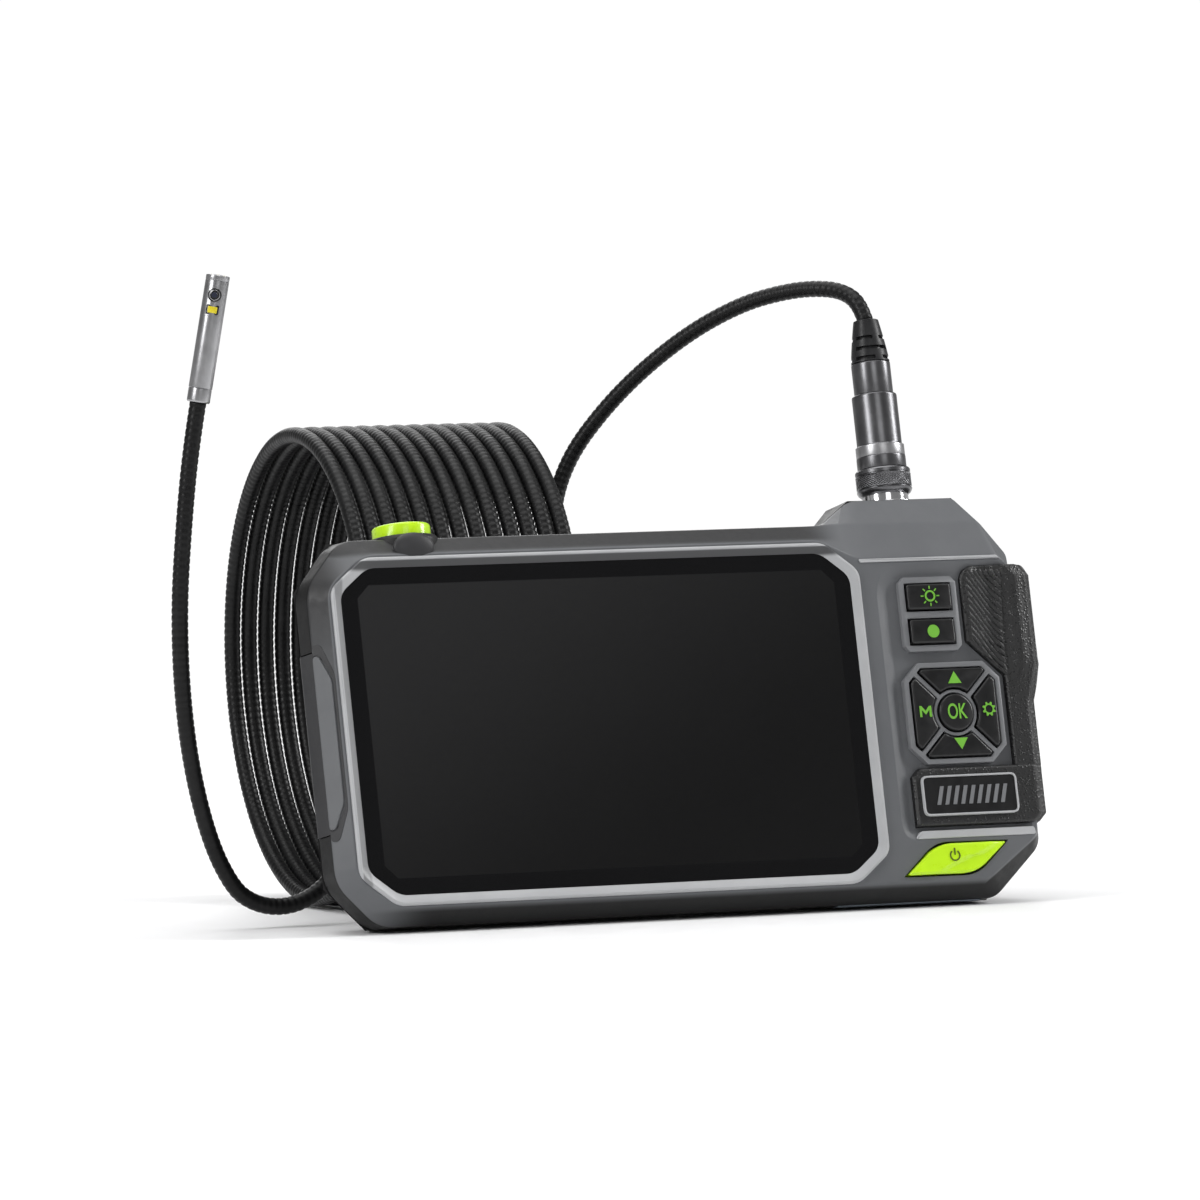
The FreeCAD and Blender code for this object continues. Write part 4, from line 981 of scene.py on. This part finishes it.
# ---------------------------------------------------------------- side cover
COVER = [(1.1, -14.5), (1.1, 11.5), (3.7, 16.9), (5.15, 16.9), (5.15, -19.9), (3.7, -19.9)]
SURROUND_OUTER = [(0.45, -15.8), (0.45, 12.8), (3.2, 19.4), (5.2, 19.4), (5.2, -22.4), (3.2, -22.4)]
SURROUND_INNER = [(1.0, -14.7), (1.0, 11.7), (3.6, 17.2), (5.2, 17.2), (5.2, -20.2), (3.6, -20.2)]


def on_bevel(outline, height):
    """Points of the left bevel's plane, raised above it; u runs from the face to the bumper."""
    along = Vector((-3.4, 4, 0)).normalized()
    out = Vector((-4, -3.4, 0)).normalized()
    return [Vector((-61.8, 0, 0)) + along * u + out * height + Vector((0, 0, z)) for u, z in outline]


def make_cover():
    """The side cover's raised panel on the left bevel, in a dark surround."""
    made = Build()
    outline = rounded(COVER, 0.9)
    inset = moved_in(outline, 0.5)
    made.loft(softened([on_bevel(inset, 0.5), on_bevel(outline, 0.5), on_bevel(outline, -0.5),
                        on_bevel(inset, -0.5)], (0.3, 0.2)))
    fitted(made, "cover_panel", "cover", "grey_casing", body="port_cover")
    rim = Build()
    outer, inner = rounded(SURROUND_OUTER, 1.1), rounded(SURROUND_INNER, 1.1)
    rim.loft([on_bevel(outer, -0.4), on_bevel(outer, 0.1), on_bevel(inner, 0.1), on_bevel(inner, -0.4)],
             (False, False), closed=True)
    fitted(rim, "cover_surround", "charcoal", "dark_casing")


make_cover()


# ---------------------------------------------------------------- grip and power key
def straight(knots, at, bend=lambda share: share):
    """A line through (position, value) knots; bend reshapes each stretch."""
    if at <= knots[0][0]:
        return knots[0][1]
    for (a, low), (b, high) in zip(knots, knots[1:]):
        if at <= b:
            return low + (high - low) * bend((at - a) / (b - a))
    return knots[-1][1]


def stepwise(knots, at):
    """A smooth curve through (position, value) knots."""
    return straight(knots, at, lambda share: 0.5 - 0.5 * math.cos(math.pi * share))


GRIP_LEFT = ((6.8, 93.5), (14.5, 85.4), (28.3, 85.4), (30.0, 86.2), (31.0, 88.0))
GRIP_RIGHT = ((-25.5, 98.9), (-23.5, 100.9), (1.0, 100.9), (9.0, 103.6), (28.6, 103.6), (31.0, 101.4))
PALM = ((85.4, -0.5), (87.2, -0.25), (91.5, 0.5), (94.3, -0.3), (97.6, -1.7), (100.2, -1.3), (102.2, 0.6),
        (103.6, 5.0))
RIB_PITCH = 0.95
GRIP_ROW = 0.22
GRIP_COLUMNS = 64
GRIP_ROUND = 0.7
POWER_LOW, POWER_HIGH, POWER_EDGE = -35.79, -29.31, 0.55
POWER_ROWS, POWER_COLUMNS, POWER_CORNER_STEPS = 32, 48, 10


def span_at(outline, z):
    """The leftmost and rightmost x where a closed outline crosses a height."""
    found = []
    for a, b in zip(outline, outline[1:] + outline[:1]):
        if (a.y - z) * (b.y - z) <= 0 and a.y != b.y:
            found.append(a.x + (b.x - a.x) * (z - a.y) / (b.y - a.y))
    return min(found), max(found)


def make_power_key():
    """The lime key: a slanted shape with two broad corners and an S-shaped step across its front."""
    outline = rounded([(65.0, -35.8), (72.75, -29.3), (89.4, -29.3), (81.65, -35.8)], [0.7, 3.3, 0.7, 3.3],
                      POWER_CORNER_STEPS)
    made = Build()
    rows = []
    for k in range(POWER_ROWS + 1):
        z = POWER_LOW + (POWER_HIGH - POWER_LOW) * k / POWER_ROWS
        left, right_edge = span_at(outline, z)
        edge_z = max(0.0, 1 - min(z - POWER_LOW, POWER_HIGH - z) / POWER_EDGE)
        row = [Vector((left, 2.6, z))]
        for i in range(POWER_COLUMNS + 1):
            x = left + (right_edge - left) * i / POWER_COLUMNS
            edge = max(edge_z, 1 - min(x - left, right_edge - x) / POWER_EDGE)
            crease = 79.2 + 4.4 * math.sin((z + 32.6) * 0.42) + 0.7 * (z + 32.6) + (1.2 if z > -32 else 0)
            low = 1 / (1 + math.exp(-(x - crease) / 0.45))
            row.append(Vector((x, -1.0 + 0.45 * low + 0.4 * max(0.0, edge) ** 2, z)))
        row.append(Vector((right_edge, 2.6, z)))
        rows.append(row)
    made.loft(rows)
    fitted(made, "power_key_cap", "lime", "lime_plastic", "power_key", body="power_key")


make_power_key()


def grip_rows(low, high, left_knots, ribbed):
    """Level rows of points round the grip, from its front edge over its face to its back."""
    rows = []
    count = round((high - low) / GRIP_ROW)
    for k in range(count + 1):
        z = low + (high - low) * k / count
        left = straight(left_knots, z)
        right_edge = straight(GRIP_RIGHT, z)
        palm = stepwise(((2.0, 0.0), (12.0, 1.0), (28.0, 1.0), (30.9, 0.35)), z) if ribbed else 0.0
        ends = min(1.0, (z - low) / GRIP_ROUND, (high - z) / GRIP_ROUND)
        drop = GRIP_ROUND * (1 - math.sqrt(max(0.0, 1 - (1 - ends) ** 2)))
        row = [Vector((left, 1.4, z))]
        for i in range(GRIP_COLUMNS + 1):
            x = left + (right_edge - left) * i / GRIP_COLUMNS
            into = x - left
            flat = stepwise(((0, -0.8), (right_edge - left - 3.2, -0.8), (right_edge - left - 1.0, 0.1),
                             (right_edge - left, 3.6)), into)
            y = flat * (1 - palm) + stepwise(PALM, x + (103.6 - right_edge) * 0.9) * palm
            y += 0.6 * max(0.0, 1 - into / 0.6) ** 2
            if ribbed:
                inside = min(1.0, max(0.0, into - 0.7) / 0.4, max(0.0, 94.6 - x + (z - 18) * 0.06) / 0.5,
                             max(0.0, z - 5.0) / 1.0, max(0.0, 30.2 - z) / 0.5)
                wave = (x * 0.78 + z * 0.62) / RIB_PITCH
                y -= 0.42 * max(0.0, min(1.0, inside)) * abs(math.sin(math.pi * wave))
            row.append(Vector((x, y + drop, z)))
        row += [Vector((x, y, z)) for x, y in (
            (right_edge, 21.6), (right_edge - 0.6, 23.2), (right_edge - 1.8, 23.9 - drop),
            (95.5, 23.9 - drop), (95.5, 1.4),
        )]
        rows.append(row)
    return rows


grip_upper = Build()
grip_upper.loft(grip_rows(-13.4, 31.0, GRIP_LEFT, True))
fitted(grip_upper, "grip_palm", "grip", "grip_rubber", "rubber_grip")
grip_lower = Build()
grip_lower.loft(grip_rows(-25.5, -12.8, ((-14.6, 68.7), (-12.8, 70.5)), False))
fitted(grip_lower, "grip_heel", "grip", "grip_rubber")


# ---------------------------------------------------------------- plug
KNURL_LOW, KNURL_HIGH, KNURL_DEPTH = 3.65, 6.4, 0.2
KNURL_COUNT, KNURL_LEAN = 24, 6.4
SLOT_ROWS = ((31.9, 50, 2), (34.1, 80, 1), (36.4, 50, 2))
SLOT_HIGH, SLOT_DEPTH = 0.7, 0.85
BOOT_LOW, BOOT_HIGH = 31.4, 40.95


def knurled(radius, height, angle):
    """A shape for turned(): a fine diamond knurl round the ring's grip."""
    if not KNURL_LOW < height < KNURL_HIGH or radius < 5.9:
        return radius
    fade = min(1.0, (height - KNURL_LOW) / 0.2, (KNURL_HIGH - height) / 0.2)
    turn, lean = KNURL_COUNT * angle, KNURL_LEAN * height
    return radius - KNURL_DEPTH * fade * (1 - abs(math.sin(turn + lean)) * abs(math.sin(turn - lean)))


def slotted(radius, height, angle):
    """A shape for turned(): the strain relief's rows of slots, turned from row to row."""
    for low, start, per_side in SLOT_ROWS:
        if low - 0.01 < height < low + SLOT_HIGH + 0.01:
            if math.cos(2 * per_side * (angle - math.radians(start))) > -0.55:
                return radius - SLOT_DEPTH
    return radius


def boot_radius(height):
    """The strain relief's taper, with its two ends rounded over."""
    share = (height - BOOT_LOW) / (BOOT_HIGH - BOOT_LOW)
    return 4.2 - 1.5 * share ** 1.25 - (0.25 if height in (BOOT_LOW, BOOT_HIGH) else 0)


ring_profile = [(5.05, 2.05), (5.2, 2.0), (5.75, 2.45), (6.0, 3.0), (6.05, 3.2), (5.85, 3.35), (5.85, 3.5)]
ring_profile += [(6.05, KNURL_LOW + (KNURL_HIGH - KNURL_LOW) * k / 22) for k in range(23)]
ring_profile += [(5.85, 6.5), (5.85, 6.65), (6.0, 6.75), (6.0, 7.4), (5.8, 7.7), (5.05, 7.7)]
turned("coupling_ring_knurled", PLUG, "gun", "gunmetal", ring_profile, "coupling_ring", body="coupling_ring",
       steps=384, shape=knurled)
turned("plug_barrel_turned", PLUG, "gun", "gunmetal", [
    (3.0, 7.85), (5.35, 7.85), (5.35, 10.5), (5.15, 10.7), (5.15, 12.9), (4.9, 13.1), (4.9, 24.1),
    (4.6, 24.35), (3.0, 24.35),
], "plug_barrel", edge=0.22)
turned("plug_band", PLUG, "satin", "gunmetal", [(5.1, 10.6), (5.3, 10.6), (5.3, 12.9), (5.1, 12.9)],
       edge=0.04)
turned("plug_sleeve_turned", PLUG, "gun", "gunmetal",
       [(2.6, 24.4), (4.25, 24.4), (4.25, 31.2), (4.1, 31.35), (2.6, 31.35)], "plug_sleeve", edge=0.15)
boot_heights = [BOOT_LOW, 31.5, 33.3, 35.6, 38.0, 39.2, 40.4, 40.8, BOOT_HIGH]
for low, _, _ in SLOT_ROWS:
    boot_heights += [low - 0.06, low, low + SLOT_HIGH, low + SLOT_HIGH + 0.06]
boot_profile = [(1.85, BOOT_LOW)] + [(boot_radius(h), h) for h in sorted(boot_heights)] + [(1.85, BOOT_HIGH)]
turned("strain_relief_slotted", PLUG, "boot", "boot_rubber", boot_profile, "strain_relief", steps=144,
       shape=slotted)
turned("socket_thread", PLUG, "chrome", "socket_chrome", [
    (3.2, -0.4), (6.4, -0.4), (6.4, 0.15), (5.9, 0.3), (5.0, 0.3), (4.75, 0.55), (5.0, 0.8), (4.75, 1.05),
    (5.0, 1.3), (4.75, 1.55), (5.0, 1.8), (4.8, 1.95), (3.2, 1.95),
], edge=0.06)


# ---------------------------------------------------------------- camera head
head_up = Vector((0.1742, -0.0410, 0.9839)).normalized()
head_back = Vector((0.41, 0.911, 0))
head_back = (head_back - head_up * head_back.dot(head_up)).normalized()
head_right = head_back.cross(head_up)
HEAD = (Matrix.Translation(TAIL[0]) @ Matrix((head_right, head_back, head_up)).transposed().to_4x4()
        @ Matrix.Scale(MM, 4))

LENS_HEIGHT = 22.7
LED_HEIGHT = 19.6
turned("ferrule_turned", HEAD, "steel", "head_steel",
       [(1.85, 0.0), (2.3, 0.0), (2.45, 0.3), (2.45, 3.0), (1.85, 3.0)], "head_ferrule", edge=0.1, steps=64)
turned("head_tube", HEAD, "steel", "head_steel", [(2.08, 3.06), (2.5, 3.06), (2.5, 25.8), (2.08, 25.8)],
       "head_barrel", body="camera_head", edge=0.05)
turned("front_rim", HEAD, "steel", "head_steel", [
    (1.2, 25.85), (2.5, 25.85), (2.5, 26.85), (2.35, 27.0), (2.1, 27.0), (2.0, 26.75), (1.2, 26.7),
], body="camera_head", edge=0.06)


def side_patch(name, outline, middle, radius, finish, slot, *nodes):
    """A thin curved pad on the head tube's side, round a middle height."""
    made = Build()
    rings = []
    for scale, lift in ((1, -0.12), (1, -0.02), (0.97, 0), (0.8, 0), (0.5, 0), (0.2, 0), (0.02, 0)):
        flat = [Vector((p[0] * scale, middle + p[1] * scale)) for p in outline]
        rings.append([Vector((x, -math.sqrt((radius + lift) ** 2 - x * x), z)) for x, z in flat])
    made.loft(rings)
    own(made.done(name, HEAD, finish), "camera_head", slot, *nodes)


side_patch("lens_surround", circle(0, 0, 1.45, 40), LENS_HEIGHT, 2.56, "window", "window_black",
           "side_camera")
side_patch("lens_ring", circle(0, 0, 1.12, 40), LENS_HEIGHT, 2.6, "steel", "window_black")
side_patch("lens_seat", circle(0, 0, 1.0, 40), LENS_HEIGHT, 2.64, "window", "window_black")
side_patch("lens_front", circle(0, 0, 0.62, 40), LENS_HEIGHT, 2.68, "lens", "lens_glass", "side_lens")
side_patch("led_surround", rounded(box_outline(-1.35, -1.05, 1.35, 1.05), 0.4), LED_HEIGHT, 2.56, "window",
           "window_black")
side_patch("led_front", rounded(box_outline(-0.98, -0.68, 0.98, 0.68), 0.2), LED_HEIGHT, 2.62, "led",
           "led_yellow", "side_led")


# ---------------------------------------------------------------- rear details
SCREWS = ((-52, 29), (-52, -29.5), (0, 31), (0, -31), (47, 29.5), (47, -31))
RIB_COUNT, RIB_STEP, RIB_HALF = 9, 5.0, 0.9


def cross(size, half):
    """The outline of a cross recess."""
    return [(-half, size), (half, size), (half, half), (size, half), (size, -half), (half, -half),
            (half, -size), (-half, -size), (-half, -half), (-size, -half), (-size, half), (-half, half)]


def make_screws():
    """Six pan-head screws with cross recesses, in one mesh."""
    made = Build()
    turn_by = random.Random(7)
    for x, z in SCREWS:
        here = Vector((x, z))
        spin = Matrix.Rotation(turn_by.uniform(0, math.pi / 2), 2)
        head = made.loft([at_depth(circle(x, z, radius, 32), depth) for radius, depth in
                          ((2.1, 12.4), (2.1, 19.2), (2.0, 19.5), (1.75, 19.7))], (True, False))
        recess = made.loft([at_depth([here + spin @ Vector(p) for p in cross(size, half)], depth)
                            for size, half, depth in ((1.25, 0.28, 19.7), (0.9, 0.2, 18.9))], (False, True))
        made.fill([head[-1], recess[0]])
    fitted(made, "casing_screws", "screw", "screw_steel", "shell_screws")


make_screws()
for number in range(RIB_COUNT):
    z = RIB_STEP * (number - RIB_COUNT // 2)
    rib = prism(rounded(box_outline(68.0, z - RIB_HALF, 90.0, z + RIB_HALF), 0.85), 32.5, 33.55, 0.45)
    fitted(rib, "rear_rib_%d" % number, "grip", "grip_rubber")
plate_rim = prism(rounded(box_outline(-34.0, -17.0, 34.0, 17.0), 3.0), 19.6, 20.5, 0.3)
fitted(plate_rim, "rear_plate_rim", "dark", "dark_casing")
plate_face = prism(rounded(box_outline(-32.4, -15.4, 32.4, 15.4), 2.2), 20.3, 20.62, 0.1)
fitted(plate_face, "rear_plate_face", "key", "key_black")


# ---------------------------------------------------------------- floor and studio light
FLOOR_HALF, FLOOR_CELLS, FLOOR_DROP = 0.8, 16, 0.0005


def make_floor():
    made = Build()
    bmesh.ops.create_grid(made.bm, x_segments=FLOOR_CELLS, y_segments=FLOOR_CELLS, size=FLOOR_HALF)
    made.done("floor", Matrix.Translation((0, 0, -FLOOR_DROP)), "floor")


def area_light(name, at, aim, size, power, size_y=None):
    data = bpy.data.lights.new(name, "AREA")
    data.energy = power
    data.size = size
    if size_y:
        data.shape = "RECTANGLE"
        data.size_y = size_y
    turn = (Vector(aim) - Vector(at)).to_track_quat("-Z", "Y").to_matrix().to_4x4()
    placed(name, data).matrix_world = Matrix.Translation(at) @ turn


def make_world():
    """A white sky, brightest at the horizon, that lights the scene more weakly than it is seen."""
    world = bpy.data.worlds.new("studio")
    world.use_nodes = True
    sky = Tree(world.node_tree, "Generated")
    backdrop = world.node_tree.nodes["Background"]
    backdrop.inputs["Color"].default_value = (1, 1, 1, 1)
    band = sky.ramp(sky.axis("Z"), 1.02, 0.5, 0.06, 0.25)
    seen = sky.add("ShaderNodeLightPath").outputs["Is Camera Ray"]
    sky.link(sky.math("MULTIPLY", band, sky.math("MAXIMUM", seen, 0.4)), backdrop.inputs["Strength"])
    scene.world = world


make_floor()
area_light("top_light", (-0.1, 0.15, 1.3), (0, 0, 0.05), 1.3, 13)
area_light("left_light", (-1.3, -0.35, 0.75), (0, 0, 0.06), 0.4, 9, 0.8)
area_light("right_light", (1.25, -0.35, 0.8), (0, 0, 0.08), 0.35, 13, 0.8)
area_light("front_light", (-0.3, -1.9, 1.0), (0, 0, 0.06), 0.8, 4)
area_light("rear_light", (0.3, 1.3, 0.8), (0, 0, 0.06), 0.9, 7)
make_world()
scene.view_settings.view_transform = "Standard"
